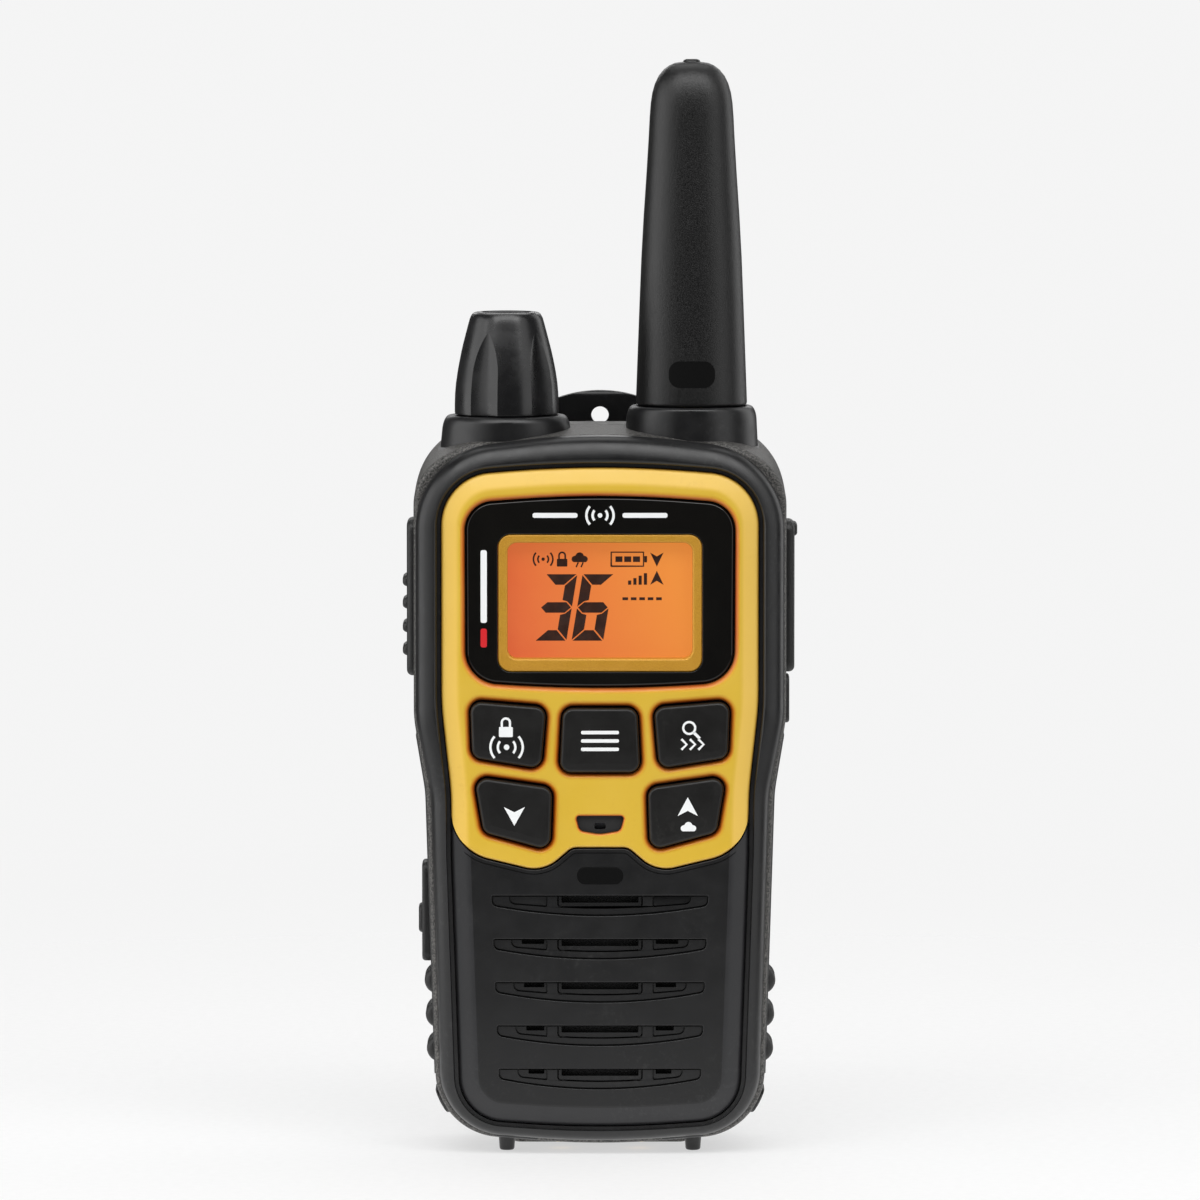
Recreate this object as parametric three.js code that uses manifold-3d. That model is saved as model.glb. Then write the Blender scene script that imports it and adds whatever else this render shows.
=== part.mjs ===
// Handheld two way radio: display, five keys, volume knob, talk button, stub antenna and belt clip.
// Millimetres. +X is the right-hand side seen from the front, +Y is the back and +Z is up.
// The origin is the middle of the footprint, on the surface that the feet stand on.
import * as THREE from 'three';
import { mergeVertices } from 'three/addons/utils/BufferGeometryUtils.js';
import Module from 'manifold-3d';

const wasm = await Module();
wasm.setup();

// ---- Driving dimensions ----

const SAG = 0.15;              // how far a straight facet may stray from a true arc
const WALL = 1.8;              // wall of both shells
const FIT = 0.3;               // gap round a piece that is set into another

// Depth, from the front to the back.
const KEY_TOP_Y = -19;
const BEZEL_Y = -18.2;         // front face of the bezel
const FRAME_Y = -18;           // front edge of the frame round the bezel
const LENS_Y = -17.7;
const POCKET_Y = -15.4;        // floor of the pocket behind the bezel and the grille
const STEP_Y = -14.2;          // where the smooth frame meets the textured side
const FRONT_INNER_Y = -13.8;
const BOARD_Y = -10.9;         // front face of the main board
const BOARD_THICKNESS = 1.6;
const PARTING_Y = -4;          // the front and rear shells meet here
const PARTING_GAP = 0.1;       // on each side of the parting plane
const DOOR_SEAT_Y = 6.2;
const BACK_INNER_Y = 6.4;
const BACK_Y = 8.2;
const CLIP_BACK_Y = 19;

// Height.
const SIDE_FOOT_Z = 2.9;       // the straight lower side runs from here ...
const SIDE_WAIST_Z = 52;       // ... to here
const SIDE_FOOT_X = 23.3;
const SIDE_WAIST_X = 24.85;
const SHOULDER_X = 26.6;

// The volume control and the antenna stand on collars on top of the case.
const KNOB_AXIS = [-13.4, -6];
const KNOB_SEAT_Z = 105.1;
const ANTENNA_AXIS = [13.1, -6];
const ANTENNA_SEAT_Z = 106.1;
const BUSHING_RADIUS = 3;
const SHAFT_RADIUS = 1.5;
const STUD_RADIUS = 2.2;

const SCREW_PLACES = [[-19.4, 91.5], [19.4, 91.5], [-19.4, 63], [19.4, 63]];
const SCREW_SHANK_RADIUS = 1.2;
const SCREW_HEAD_RADIUS = 2.2;
const BOSS_RADIUS = 2.6;

const KEY_STEM_RADIUS = 1.6;
const PEG_X = 13.35;
const PEG_Y = -11;
const PEG_RADIUS = 1.07;
const CHARGE_CONTACT_X = 5.5;
const CHARGE_CONTACT_Y = -9;
const MICROPHONE_Z = 47.3;
const SPEAKER_Z = 24.5;

const CELL_RADIUS = 5.2;
const CELL_LENGTH = 44.4;
const CELL_PITCH = 10.7;
const CELL_Y = 0.65;
const BAY_Z = [8, 56.5];

const PIVOT = [13.2, 94.5];    // Y and Z of the belt clip's pin
const PIN_RADIUS = 0.95;
const PIN_HOLE_RADIUS = 1.15;

// ---- Helpers: outlines ----

// Corners [x, y, radius] become a closed outline. Listed counterclockwise.
function rounded(corners) {
  return corners.flatMap(([x, y, radius = 0], i) => {
    const corner = new THREE.Vector2(x, y);
    if (radius === 0) return [corner];
    const [beforeX, beforeY] = corners.at(i - 1);
    const [afterX, afterY] = corners[(i + 1) % corners.length];
    const before = new THREE.Vector2(beforeX, beforeY).sub(corner).normalize();
    const after = new THREE.Vector2(afterX, afterY).sub(corner).normalize();
    const half = Math.acos(before.dot(after)) / 2;
    const turn = (Math.PI - 2 * half) * Math.sign(after.cross(before));
    const middle = before.clone().add(after).setLength(radius / Math.sin(half)).add(corner);
    const start = corner.clone().addScaledVector(before, radius / Math.tan(half));
    const facets = Math.max(1, Math.ceil(Math.abs(turn) / (2 * Math.acos(1 - SAG / radius))));
    const steps = Array.from({ length: facets + 1 }, (_, k) => (turn * k) / facets);
    return steps.map((angle) => start.clone().rotateAround(middle, angle));
  });
}

// The right half of an outline, from its lowest to its highest point on the middle line, becomes
// the whole outline.
function mirrored(half) {
  const left = half.slice(1, -1).reverse().map(([x, y, radius]) => [-x, y, radius]);
  return [...half, ...left];
}

function rectangle([x0, x1], [y0, y1], radius = 0) {
  return rounded([[x0, y0, radius], [x1, y0, radius], [x1, y1, radius], [x0, y1, radius]]);
}

function circle([x, y], radius, sides = 16) {
  const angles = Array.from({ length: sides }, (_, k) => (2 * Math.PI * k) / sides);
  return angles.map((a) => new THREE.Vector2(x + radius * Math.cos(a), y + radius * Math.sin(a)));
}

// Moves every side of an outline inwards by a distance.
function inset(outline, distance) {
  return outline.map((point, i) => {
    const u = point.clone().sub(outline.at(i - 1)).normalize();
    const v = outline[(i + 1) % outline.length].clone().sub(point).normalize();
    const normal = new THREE.Vector2(-u.y, u.x);
    const miter = new THREE.Vector2(-u.y - v.y, u.x + v.x).normalize();
    return point.clone().addScaledVector(miter, distance / miter.dot(normal));
  });
}

const grown = (outline, distance) => inset(outline, -distance);

// ---- Helpers: solids ----

// Outlines are drawn in (y, z), (x, z) or (x, y), and extended along the axis that is left.
const X = new THREE.Vector3(1, 0, 0);
const Y = new THREE.Vector3(0, 1, 0);
const Z = new THREE.Vector3(0, 0, 1);
const PLANES = {
  x: new THREE.Matrix4().makeBasis(Y, Z, X),
  y: new THREE.Matrix4().makeBasis(X, Z, Y.clone().negate()),
  z: new THREE.Matrix4(),
};

// A closed geometry becomes a solid that can be joined and cut.
function solid(geometry) {
  geometry.deleteAttribute('normal');
  geometry.deleteAttribute('uv');
  const merged = mergeVertices(geometry);
  const triangles = [];
  for (let i = 0; i < merged.index.count; i += 3) {
    const [a, b, c] = merged.index.array.slice(i, i + 3);
    if (a !== b && b !== c && c !== a) triangles.push(a, b, c);
  }
  return new wasm.Manifold(new wasm.Mesh({
    numProp: 3,
    vertProperties: new Float32Array(merged.attributes.position.array),
    triVerts: new Uint32Array(triangles),
  }));
}

function geometryOf(body) {
  const mesh = body.getMesh();
  const geometry = new THREE.BufferGeometry();
  geometry.setAttribute('position', new THREE.BufferAttribute(mesh.vertProperties, 3));
  geometry.setIndex(new THREE.BufferAttribute(mesh.triVerts, 1));
  geometry.computeVertexNormals();
  return geometry;
}

// A closed skin over rings of points: every ring has the same number, and the rings go upwards.
function skin(rings) {
  const count = rings[0].length;
  const faces = [];
  for (let k = 0; k + 1 < rings.length; k += 1) {
    for (let i = 0; i < count; i += 1) {
      const a = k * count + i;
      const b = k * count + ((i + 1) % count);
      faces.push(a, b, a + count, b, b + count, a + count);
    }
  }
  const top = (rings.length - 1) * count;
  for (const [a, b, c] of THREE.ShapeUtils.triangulateShape(rings[0], [])) {
    faces.push(c, b, a, top + a, top + b, top + c);
  }
  const geometry = new THREE.BufferGeometry();
  const positions = rings.flat().flatMap((point) => point.toArray());
  geometry.setAttribute('position', new THREE.Float32BufferAttribute(positions, 3));
  geometry.setIndex(faces);
  return geometry;
}

// An outline carried along an axis through levels [place, inset].
function layered(axis, outline, levels) {
  const upward = axis === 'y' ? levels.map(([y, distance]) => [-y, distance]).reverse() : levels;
  const rings = upward.map(([height, distance]) => (
    inset(outline, distance).map(({ x, y }) => new THREE.Vector3(x, y, height))
  ));
  return solid(skin(rings).applyMatrix4(PLANES[axis]));
}

const prism = (axis, outline, from, to) => layered(axis, outline, [[from, 0], [to, 0]]);
const rod = (axis, place, radius, from, to, sides) => (
  prism(axis, circle(place, radius, sides), from, to)
);

function block([x0, x1], [y0, y1], [z0, z1]) {
  const geometry = new THREE.BoxGeometry(x1 - x0, y1 - y0, z1 - z0);
  return solid(geometry.translate((x0 + x1) / 2, (y0 + y1) / 2, (z0 + z1) / 2));
}

// A profile [radius, height] turned about an axis through a place. The profile goes upwards on the
// outside, and starts and ends on the axis or closes on itself.
const TURNS = {
  y: new THREE.Matrix4(),
  z: new THREE.Matrix4().makeRotationX(Math.PI / 2),
};

function turned(axis, [u, v], profile, sides = 20) {
  const points = profile.map(([radius, height]) => new THREE.Vector2(radius, height));
  const geometry = new THREE.LatheGeometry(points, sides).applyMatrix4(TURNS[axis]);
  return solid(axis === 'y' ? geometry.translate(u, 0, v) : geometry.translate(u, v, 0));
}

// Wire of a round section along a curve.
function wire(points, radius, steps, sides = 5) {
  const section = new THREE.Shape(circle([0, 0], radius, sides));
  const extrudePath = new THREE.CatmullRomCurve3(points);
  return solid(new THREE.ExtrudeGeometry(section, { steps, extrudePath, bevelEnabled: false }));
}

// Points of a helix about +Z, from one height to another.
function helix(radius, from, to, turns, perTurn = 8) {
  const count = Math.round(turns * perTurn);
  return Array.from({ length: count + 1 }, (_, k) => {
    const angle = (2 * Math.PI * k) / perTurn;
    const height = from + ((to - from) * k) / count;
    return new THREE.Vector3(radius * Math.cos(angle), radius * Math.sin(angle), height);
  });
}

const joined = (...bodies) => bodies.reduce((sum, body) => sum.add(body));

// ---- Materials ----

const finish = (color, roughness, metalness = 0) => (
  new THREE.MeshStandardMaterial({ color, roughness, metalness })
);
const CASE_BLACK = finish(0x3a3b3b, 0.55);
const CASE_TEXTURED = finish(0x353636, 0.8);
const SOFT_BLACK = finish(0x262727, 0.85);
const YELLOW = finish(0xe4b94e, 0.4);
const LENS_BLACK = finish(0x171615, 0.08);
const GOLD = finish(0xcda237, 0.35, 0.4);
const LCD_ORANGE = finish(0xea8244, 0.25);
const WHITE = finish(0xe9e9e4, 0.5);
const BOARD_GREEN = finish(0x1e5a3a, 0.6);
const STEEL = finish(0xb9bcbf, 0.3, 1);
const BRASS = finish(0xc9a35a, 0.3, 1);
const COPPER = finish(0xb87333, 0.35, 1);
const PAPER = finish(0x2a2a2c, 0.95);
const MESH_BLACK = finish(0x101010, 0.9);
const CELL_BLUE = finish(0x3f6ea8, 0.35);

const radio = new THREE.Group();

function piece(name, body, material, parent = radio) {
  const mesh = new THREE.Mesh(geometryOf(body), material);
  mesh.name = name;
  parent.add(mesh);
  return mesh;
}

// ---- Outlines of the case ----

const BODY = rounded(mirrored([
  [0, 1.1, 120], [SIDE_FOOT_X, SIDE_FOOT_Z, 9.5], [SIDE_WAIST_X, SIDE_WAIST_Z, 18],
  [SHOULDER_X, 62.5, 18], [SHOULDER_X, 103.4, 10.5], [0, 104],
]));
const FRAME = rounded(mirrored([
  [0, 1.5, 120], [22.7, 3.3, 9.5], [24.1, 52, 18],
  [25.85, 62.5, 18], [25.85, 102.9, 12], [0, 103.6],
]));
// The bezel and the grille together fill this outline.
const INSERT = rounded(mirrored([
  [0, 3.8, 150], [19.9, 5.2, 6.5], [21.2, 43], [21.25, 52, 40],
  [22.6, 64.5, 40], [22.6, 97.2, 7.5], [0, 98.7],
]));
// The bezel narrows at the bottom and rises over a notch in the middle.
const BEZEL = rounded([
  [4.1, 44.3, 2.2], [7.2, 40.9, 2.6], [20.4, 44.6, 4.2], [21.25, 52, 40], [22.6, 64.5, 40],
  [22.6, 97.2, 7.5], [0, 98.7], [-22.6, 97.2, 7.5], [-22.6, 64.5, 40], [-21.25, 52, 40],
  [-20.4, 44.6, 4.2], [-7.2, 40.9, 2.6], [-4.1, 44.3, 2.2],
]);
const LENS = rounded(mirrored([
  [0, 67.1], [19.2, 68.2, 4.6], [19.3, 93.3, 4], [0, 94.5],
]));
const LCD_FRAME = rectangle([-14.6, 14.6], [69.35, 89.1], 1.9);
const LCD_WINDOW = rectangle([-13.15, 13.15], [71.3, 87.8], 0.8);

const sideX = (z) => {
  const share = (z - SIDE_FOOT_Z) / (SIDE_WAIST_Z - SIDE_FOOT_Z);
  return SIDE_FOOT_X + (SIDE_WAIST_X - SIDE_FOOT_X) * share;
};

// ---- Keys ----

const flipped = (corners) => corners.map(([x, z]) => [-x, z]).reverse();
const CALL = [[-18.2, 57.2], [-8.4, 55.6], [-7.65, 64.4], [-18.5, 65.3]];
const DOWN = [[-16.6, 46.5], [-7.1, 43.9], [-6.8, 52.9], [-17.95, 54.5]];
const KEYS = {
  key_call: CALL,
  key_menu: [[-5.75, 55.1], [5.75, 55.1], [5.3, 64.3], [-5.3, 64.3]],
  key_scan: flipped(CALL),
  key_down: DOWN,
  key_up: flipped(DOWN),
};
const KEY_CORNER_RADIUS = 1.1;
const keyOutline = (corners) => rounded(corners.map(([x, z]) => [x, z, KEY_CORNER_RADIUS]));
const keyMiddle = (corners) => [0, 1].map((axis) => (
  corners.reduce((sum, corner) => sum + corner[axis] / corners.length, 0)
));

function key(corners) {
  const cap = layered('y', keyOutline(corners), [
    [KEY_TOP_Y, 0.9], [KEY_TOP_Y + 0.3, 0.3], [KEY_TOP_Y + 0.8, 0], [-16.3, 0],
  ]);
  return cap.add(rod('y', keyMiddle(corners), KEY_STEM_RADIUS, -16.4, -12.2, 8));
}

function keypadMat() {
  const sheet = prism('y', rectangle([-15.8, 15.8], [42, 66.5], 2), -13.4, -12.6);
  const stems = Object.values(KEYS).map((corners) => (
    rod('y', keyMiddle(corners), KEY_STEM_RADIUS + 0.4, -14, -12, 8)
  ));
  const soundHole = rod('y', [0, MICROPHONE_Z], 3.6, -14, -12);
  return sheet.subtract(joined(...stems, soundHole));
}

// ---- Side parts: outlines in (y, z) ----

const PTT = rectangle([-13.2, -5.2], [68.4, 90.8], 1.5);
const PTT_X = -27.6;
const PTT_RIB_X = -28.2;
const JACK_COVER = rectangle([-12.6, -5.4], [68.9, 90.6], 1.5);
const JACK_COVER_X = 27.8;
const JACK_ANCHOR = rectangle([-11.4, -6.6], [61.5, 68.4], 1.2);
const JACKS = [{ z: 76, radius: 1.9 }, { z: 86, radius: 1.4 }];
const JACK_Y = -9;
const USB_COVER = rectangle([-11.3, -5.2], [27.2, 41.5], 1.2);
const USB_COVER_X = -25.5;
const USB_SLOT = rectangle([-9.3, -6.3], [29.9, 38.9], 1.3);

// Soft inlays lie in the sides of the front shell.
const INLAY_Y = [-14, -5];
const GRIP_Z = [11.2, 60];
const BUMPER_Z = [5.6, 8.9];
const INLAY_DEPTH = 0.9;
const GRIP_PROUD = 0.15;
const BUMPER_PROUD = 0.4;
const GRIP_BUMPS = [24.65, 19.75, 14.85];

// The space of an inlay: everything on one side of the case between two heights.
function inlaySpace(side, [z0, z1], margin) {
  const outline = rectangle(
    [INLAY_Y[0] - margin, INLAY_Y[1] + margin],
    [z0 - margin, z1 + margin],
    1.6,
  );
  return side < 0 ? prism('x', outline, -30, -14) : prism('x', outline, 14, 30);
}

const caseInside = (depth) => prism('y', inset(BODY, depth), -16, -3);

function inlay(side, heights, proud) {
  const [front, back] = INLAY_Y;
  const outside = layered('y', grown(BODY, proud), [
    [front, 0.35], [front + 0.5, 0], [back - 0.5, 0], [back, 0.35],
  ]);
  return outside.intersect(inlaySpace(side, heights, 0)).subtract(caseInside(INLAY_DEPTH));
}

function sideGrip(side) {
  const bumpRadius = 2;
  const bumpProud = 1.15;
  const bumps = GRIP_BUMPS.map((z) => (
    rod('y', [side * (sideX(z) + bumpProud - bumpRadius), z], bumpRadius, -13.2, -5.8, 14)
  ));
  return inlay(side, GRIP_Z, GRIP_PROUD).add(joined(...bumps).subtract(caseInside(INLAY_DEPTH)));
}

function inlayRecesses() {
  const recesses = [-1, 1].flatMap((side) => [
    inlaySpace(side, GRIP_Z, FIT),
    inlaySpace(side, BUMPER_Z, FIT),
  ]);
  return joined(...recesses).subtract(caseInside(INLAY_DEPTH + 0.25));
}

// ---- Shells ----

// An oval collar with a rounded shoulder. Levels are [height, half width].
function collar([x, y], seat, foot) {
  const depthShare = 0.9;
  const levels = [[94, foot], [seat - 4.3, foot], [seat - 0.9, foot - 0.8], [seat - 0.3, foot - 1.3],
    [seat, foot - 1.9]];
  const rings = levels.map(([height, halfWidth]) => circle([0, 0], 1, 22).map((point) => (
    new THREE.Vector3(x + point.x * halfWidth, y + point.y * halfWidth * depthShare, height)
  )));
  return solid(skin(rings));
}

function collars() {
  return joined(
    collar([KNOB_AXIS[0] - 0.1, KNOB_AXIS[1]], KNOB_SEAT_Z, 9.7),
    collar(ANTENNA_AXIS, ANTENNA_SEAT_Z, 9.7),
  );
}

function collarBores() {
  return joined(
    rod('z', KNOB_AXIS, BUSHING_RADIUS + 0.35, 98, 110, 20),
    rod('z', ANTENNA_AXIS, STUD_RADIUS + 0.35, 98, 110, 20),
  );
}

// The collars' part between two depths that lies outside the case's inner space.
function collarPart(y0, y1) {
  const room = block([-40, 40], [y0, y1], [90, 120]);
  return collars().intersect(room).subtract(prism('y', inset(BODY, WALL), -20, 20));
}

function frontHousing() {
  const edge = PARTING_Y - PARTING_GAP;
  const frame = layered('y', FRAME, [
    [FRAME_Y, 1.5], [-17.5, 0.7], [-16.6, 0.2], [POCKET_Y, 0], [STEP_Y + 0.1, 0],
  ]);
  const side = layered('y', BODY, [[STEP_Y - 0.6, 0.7], [STEP_Y, 0.15], [STEP_Y + 0.6, 0], [edge, 0]]);
  const pegs = [-PEG_X, PEG_X].map((x) => rod('z', [x, PEG_Y], PEG_RADIUS, 0, 2.6, 12));
  const cavity = prism('y', inset(BODY, WALL), FRONT_INNER_Y, edge + 1);
  const shell = joined(frame, side, collarPart(-20, edge), ...pegs).subtract(cavity);
  const bosses = SCREW_PLACES.map((place) => (
    rod('y', place, BOSS_RADIUS, FRONT_INNER_Y - 0.1, edge - 0.2, 12)
  ));
  return shell.add(joined(...bosses)).subtract(frontOpenings());
}

function frontOpenings() {
  const behind = FRONT_INNER_Y + 0.2;
  const pocket = prism('y', grown(INSERT, 0.45), FRAME_Y - 1, POCKET_Y);
  const display = prism('y', rectangle([-15.6, 15.6], [69, 90.2], 1), -17, behind);
  const stems = Object.values(KEYS).map((corners) => (
    rod('y', keyMiddle(corners), KEY_STEM_RADIUS + 0.3, -17, behind, 8)
  ));
  const soundHole = rod('y', [0, MICROPHONE_Z], 0.9, -17, behind, 12);
  const speakerHole = rod('y', [0, SPEAKER_Z], 12.4, -17, behind, 20);
  const pilots = SCREW_PLACES.map((place) => (
    rod('y', place, SCREW_SHANK_RADIUS + 0.3, -12.5, PARTING_Y, 8)
  ));
  const contacts = [-CHARGE_CONTACT_X, CHARGE_CONTACT_X].map((x) => (
    rod('z', [x, CHARGE_CONTACT_Y], 1.9, -1, 5, 14)
  ));
  const ptt = prism('x', grown(PTT, FIT), -30, -22);
  const jackRecess = prism('x', grown(JACK_COVER, FIT), 25.9, 30);
  const anchorRecess = prism('x', grown(JACK_ANCHOR, FIT), 25.8, 30);
  const jackHoles = JACKS.map(({ z, radius }) => rod('x', [JACK_Y, z], radius, 24, 27, 14));
  const usbRecess = prism('x', grown(USB_COVER, FIT), -30, USB_COVER_X + 1.6);
  const usbSlot = prism('x', USB_SLOT, -30, -21);
  return joined(
    pocket, display, ...stems, soundHole, speakerHole, ...pilots, ...contacts, collarBores(),
    ptt, jackRecess, anchorRecess, ...jackHoles, usbRecess, usbSlot, inlayRecesses(),
  );
}

const DOOR = rounded(mirrored([[0, 5.6], [17.6, 6, 5], [18.4, 55.5, 2.5], [0, 55.5]]));
const RAIL_Z = [84, 98.5];

// Two rails with lips hold the belt clip's bracket, above a stop.
function clipRails() {
  const rails = [-1, 1].flatMap((side) => {
    const span = (inner) => [side * inner, side * 11].sort((a, b) => a - b);
    return [
      block(span(9.3), [BACK_Y - 0.2, 11.1], RAIL_Z),
      block(span(7.5), [10.2, 11.1], RAIL_Z),
    ];
  });
  const stop = block([-11, 11], [BACK_Y - 0.2, 10], [RAIL_Z[0] - 1.8, RAIL_Z[0] + 0.1]);
  return joined(...rails, stop);
}

function rearHousing() {
  const edge = PARTING_Y + PARTING_GAP;
  const outside = layered('y', BODY, [[edge, 0], [3.5, 0], [6.2, 1], [7.6, 2.4], [BACK_Y, 4.2]]);
  const cavity = layered('y', BODY, [
    [edge - 1, WALL], [3.5, WALL], [5.4, WALL + 0.8], [BACK_INNER_Y, WALL + 2.2],
  ]);
  const foot = block([-12.5, 12.5], [-3, 6.5], [0, 3]).subtract(
    prism('y', inset(BODY, 0.5), -3.5, 8),
  );
  const shell = joined(outside, collarPart(edge, 20)).subtract(cavity).add(foot);
  const tub = prism('y', rectangle([-19.8, 19.8], [6, 58.4], 3), -5.6, BACK_INNER_Y + 0.2);
  const bosses = SCREW_PLACES.map((place) => (
    rod('y', place, BOSS_RADIUS + 0.2, edge, BACK_INNER_Y + 0.1, 12)
  ));
  const openings = [
    block([-16.8, 16.8], [-4.7, 9], BAY_Z),
    prism('y', grown(DOOR, FIT), DOOR_SEAT_Y, 9),
    block([-4.4, 4.4], [4.9, BACK_INNER_Y + 0.05], [3.9, BAY_Z[0] + 0.1]),
    ...SCREW_PLACES.map((place) => rod('y', place, SCREW_SHANK_RADIUS + 0.3, -5, 9, 8)),
    ...SCREW_PLACES.map((place) => rod('y', place, SCREW_HEAD_RADIUS + FIT, 6, 9, 12)),
  ];
  return joined(shell, tub, ...bosses, clipRails()).subtract(joined(...openings, collarBores()));
}

piece('front_housing', frontHousing(), CASE_BLACK);
piece('rear_housing', rearHousing(), CASE_TEXTURED);
piece('side_grip_left', sideGrip(-1).subtract(prism('x', grown(USB_COVER, 1), -30, -20)), SOFT_BLACK);
piece('side_grip_right', sideGrip(1), SOFT_BLACK);
piece('corner_bumper_left', inlay(-1, BUMPER_Z, BUMPER_PROUD), SOFT_BLACK);
piece('corner_bumper_right', inlay(1, BUMPER_Z, BUMPER_PROUD), SOFT_BLACK);

// ---- Front face: bezel, grille and display ----

// A sound inlet under the keys, wider at the top.
const INLET = rounded(mirrored([[0, 46.2, 5], [2.9, 46.7, 0.9], [3.45, 48.8, 0.4], [0, 48.8]]));

function frontBezel() {
  const plate = layered('y', BEZEL, [
    [BEZEL_Y, 0.9], [BEZEL_Y + 0.4, 0.3], [BEZEL_Y + 1.1, 0], [POCKET_Y - 0.1, 0],
  ]);
  const keyHoles = Object.values(KEYS).map((corners) => (
    prism('y', grown(keyOutline(corners), 0.25), -20, -15)
  ));
  return plate.subtract(joined(
    prism('y', grown(LENS, 0.2), -20, -15),
    ...keyHoles,
    prism('y', INLET, -20, BEZEL_Y + 1),
    block([-0.8, 0.8], [-20, -15], [MICROPHONE_Z - 0.45, MICROPHONE_Z + 0.45]),
  ));
}

const LOUVRE_PITCH = 6.22;
const LOUVRE_TOP_Z = 37.4;
const LOUVRES = Array.from({ length: 5 }, (_, row) => ({
  top: LOUVRE_TOP_Z - row * LOUVRE_PITCH,
  halfWidth: 15.4 - row * 0.25,
}));

// The grille fills the insert below the bezel. Each louvre is a shallow bowed recess with slots
// through to the speaker.
function speakerGrille() {
  const front = BEZEL_Y + 0.3;
  const plate = layered('y', INSERT, [[front, 0.8], [front + 0.4, 0.2], [front + 1, 0], [POCKET_Y - 0.1, 0]]);
  const field = prism('y', inset(INSERT, 3), front - 1, front + 0.35);
  const louvres = LOUVRES.flatMap(({ top, halfWidth }) => {
    const bow = rounded(mirrored([[0, top - 3.1, 40], [halfWidth, top - 1.85, 0.5], [halfWidth, top, 0.4],
      [0, top]]));
    const slots = [[-5.5, 5.5], [-11, -8], [8, 11]].map((span) => (
      block(span, [-20, -15], [top - 1.5, top - 0.5])
    ));
    return [prism('y', bow, front - 1, front + 1.15), ...slots];
  });
  return plate.subtract(joined(prism('y', grown(BEZEL, 0.35), -20, -15), field, ...louvres));
}

piece('front_bezel', frontBezel(), YELLOW);
piece('speaker_grille', speakerGrille(), CASE_BLACK);
piece('display_lens', layered('y', LENS, [[LENS_Y, 0.3], [LENS_Y + 0.3, 0], [-16.7, 0]]), LENS_BLACK);
piece('lens_mask', prism('y', inset(LENS, 0.2), -16.6, -16.35).subtract(
  prism('y', inset(LCD_FRAME, 0.3), -18, -16),
), LENS_BLACK);
piece('lcd_surround', prism('y', LCD_FRAME, -16.25, -15.5).subtract(
  prism('y', LCD_WINDOW, -18, -15),
), GOLD);
piece('lcd_panel', prism('y', rectangle([-15.2, 15.2], [69.4, 89.8], 0.4), -15.4, -14.3), LCD_ORANGE);
piece('backlight_panel', prism('y', rectangle([-15, 15], [69.6, 89.6], 0.4), -14.2, -12.9), WHITE);

for (const [name, corners] of Object.entries(KEYS)) piece(name, key(corners), SOFT_BLACK);
piece('keypad_mat', keypadMat(), SOFT_BLACK);

// ---- Electronics inside ----

function mainBoard() {
  const outline = rounded([
    [-20.4, 28.6, 0.8], [-14.8, 28.6, 0.8], [-14.8, 40.4], [16, 40.4, 1], [16, 94.4, 1],
    [-16, 94.4, 1], [-16, 41], [-20.4, 41, 0.8],
  ]);
  return prism('y', outline, BOARD_Y, BOARD_Y + BOARD_THICKNESS);
}

function rfShield() {
  const can = layered('y', rectangle([-12, 12], [62, 88], 0.8), [[-9.2, 0], [-6.8, 0], [-6.5, 0.4]]);
  return can.subtract(block([-11.6, 11.6], [-10, -6.9], [62.4, 87.6]));
}

function microphone() {
  return turned('y', [0, MICROPHONE_Z], [
    [0, -13.5], [2.4, -13.5], [3, -13.2], [3, -11.6], [0, -11.6],
  ], 16);
}

function jackModule() {
  const body = block([16.3, 24.6], [-11, -6.6], [73, 88]);
  const bores = JACKS.map(({ z, radius }) => rod('x', [JACK_Y, z], radius - 0.15, 17.5, 26, 14));
  return body.subtract(joined(...bores));
}

function usbSocket() {
  const shellBody = prism('x', rectangle([-9.2, -6.4], [30, 38.8], 1.2), -22.3, -15);
  const mouth = prism('x', rectangle([-8.9, -6.7], [30.3, 38.5], 1), -23, -16);
  const tongue = block([-21.6, -15.5], [-8.1, -7.5], [31.4, 37.4]);
  return shellBody.subtract(mouth).add(tongue);
}

piece('main_board', mainBoard(), BOARD_GREEN);
piece('rf_shield', rfShield(), STEEL);
piece('microphone_capsule', microphone(), STEEL);
piece('jack_module', jackModule(), SOFT_BLACK);
piece('usb_socket', usbSocket(), STEEL);
piece('ptt_switch', block([-23.4, -16.3], [-11, -7], [76.5, 83]), SOFT_BLACK);

// ---- Loudspeaker, turned about Y ----

const speaker = new THREE.Group();
speaker.position.set(0, 0, SPEAKER_Z);
radio.add(speaker);

piece('speaker_frame', turned('y', [0, 0], [
  [2.6, -8.7], [2.6, -9.3], [8.4, -9.3], [11.2, -12.8], [11.2, -13.35], [13.2, -13.35],
  [13.2, -12.5], [12, -12.3], [9.2, -8.7], [2.6, -8.7],
], 18), STEEL, speaker);
piece('speaker_cone', turned('y', [0, 0], [
  [0, -12.2], [1.6, -12], [2.8, -11.3], [7.4, -12.8], [9.2, -13.4], [10.8, -12.9], [10.8, -12.6],
  [9.2, -13.1], [7.6, -12.4], [2.8, -10.8], [1.6, -11.5], [0, -11.7],
], 16), PAPER, speaker);
piece('speaker_magnet', turned('y', [0, 0], [
  [0, -8.6], [7, -8.6], [7, -6.4], [6.6, -6], [0, -6],
], 18), STEEL, speaker);
piece('speaker_mesh', turned('y', [0, 0], [
  [0, -13.7], [13, -13.7], [13, -13.5], [0, -13.5],
], 20), MESH_BLACK, speaker);

// ---- Volume control, about its own axis ----

const volume = new THREE.Group();
volume.position.set(...KNOB_AXIS, 0);
radio.add(volume);

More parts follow.
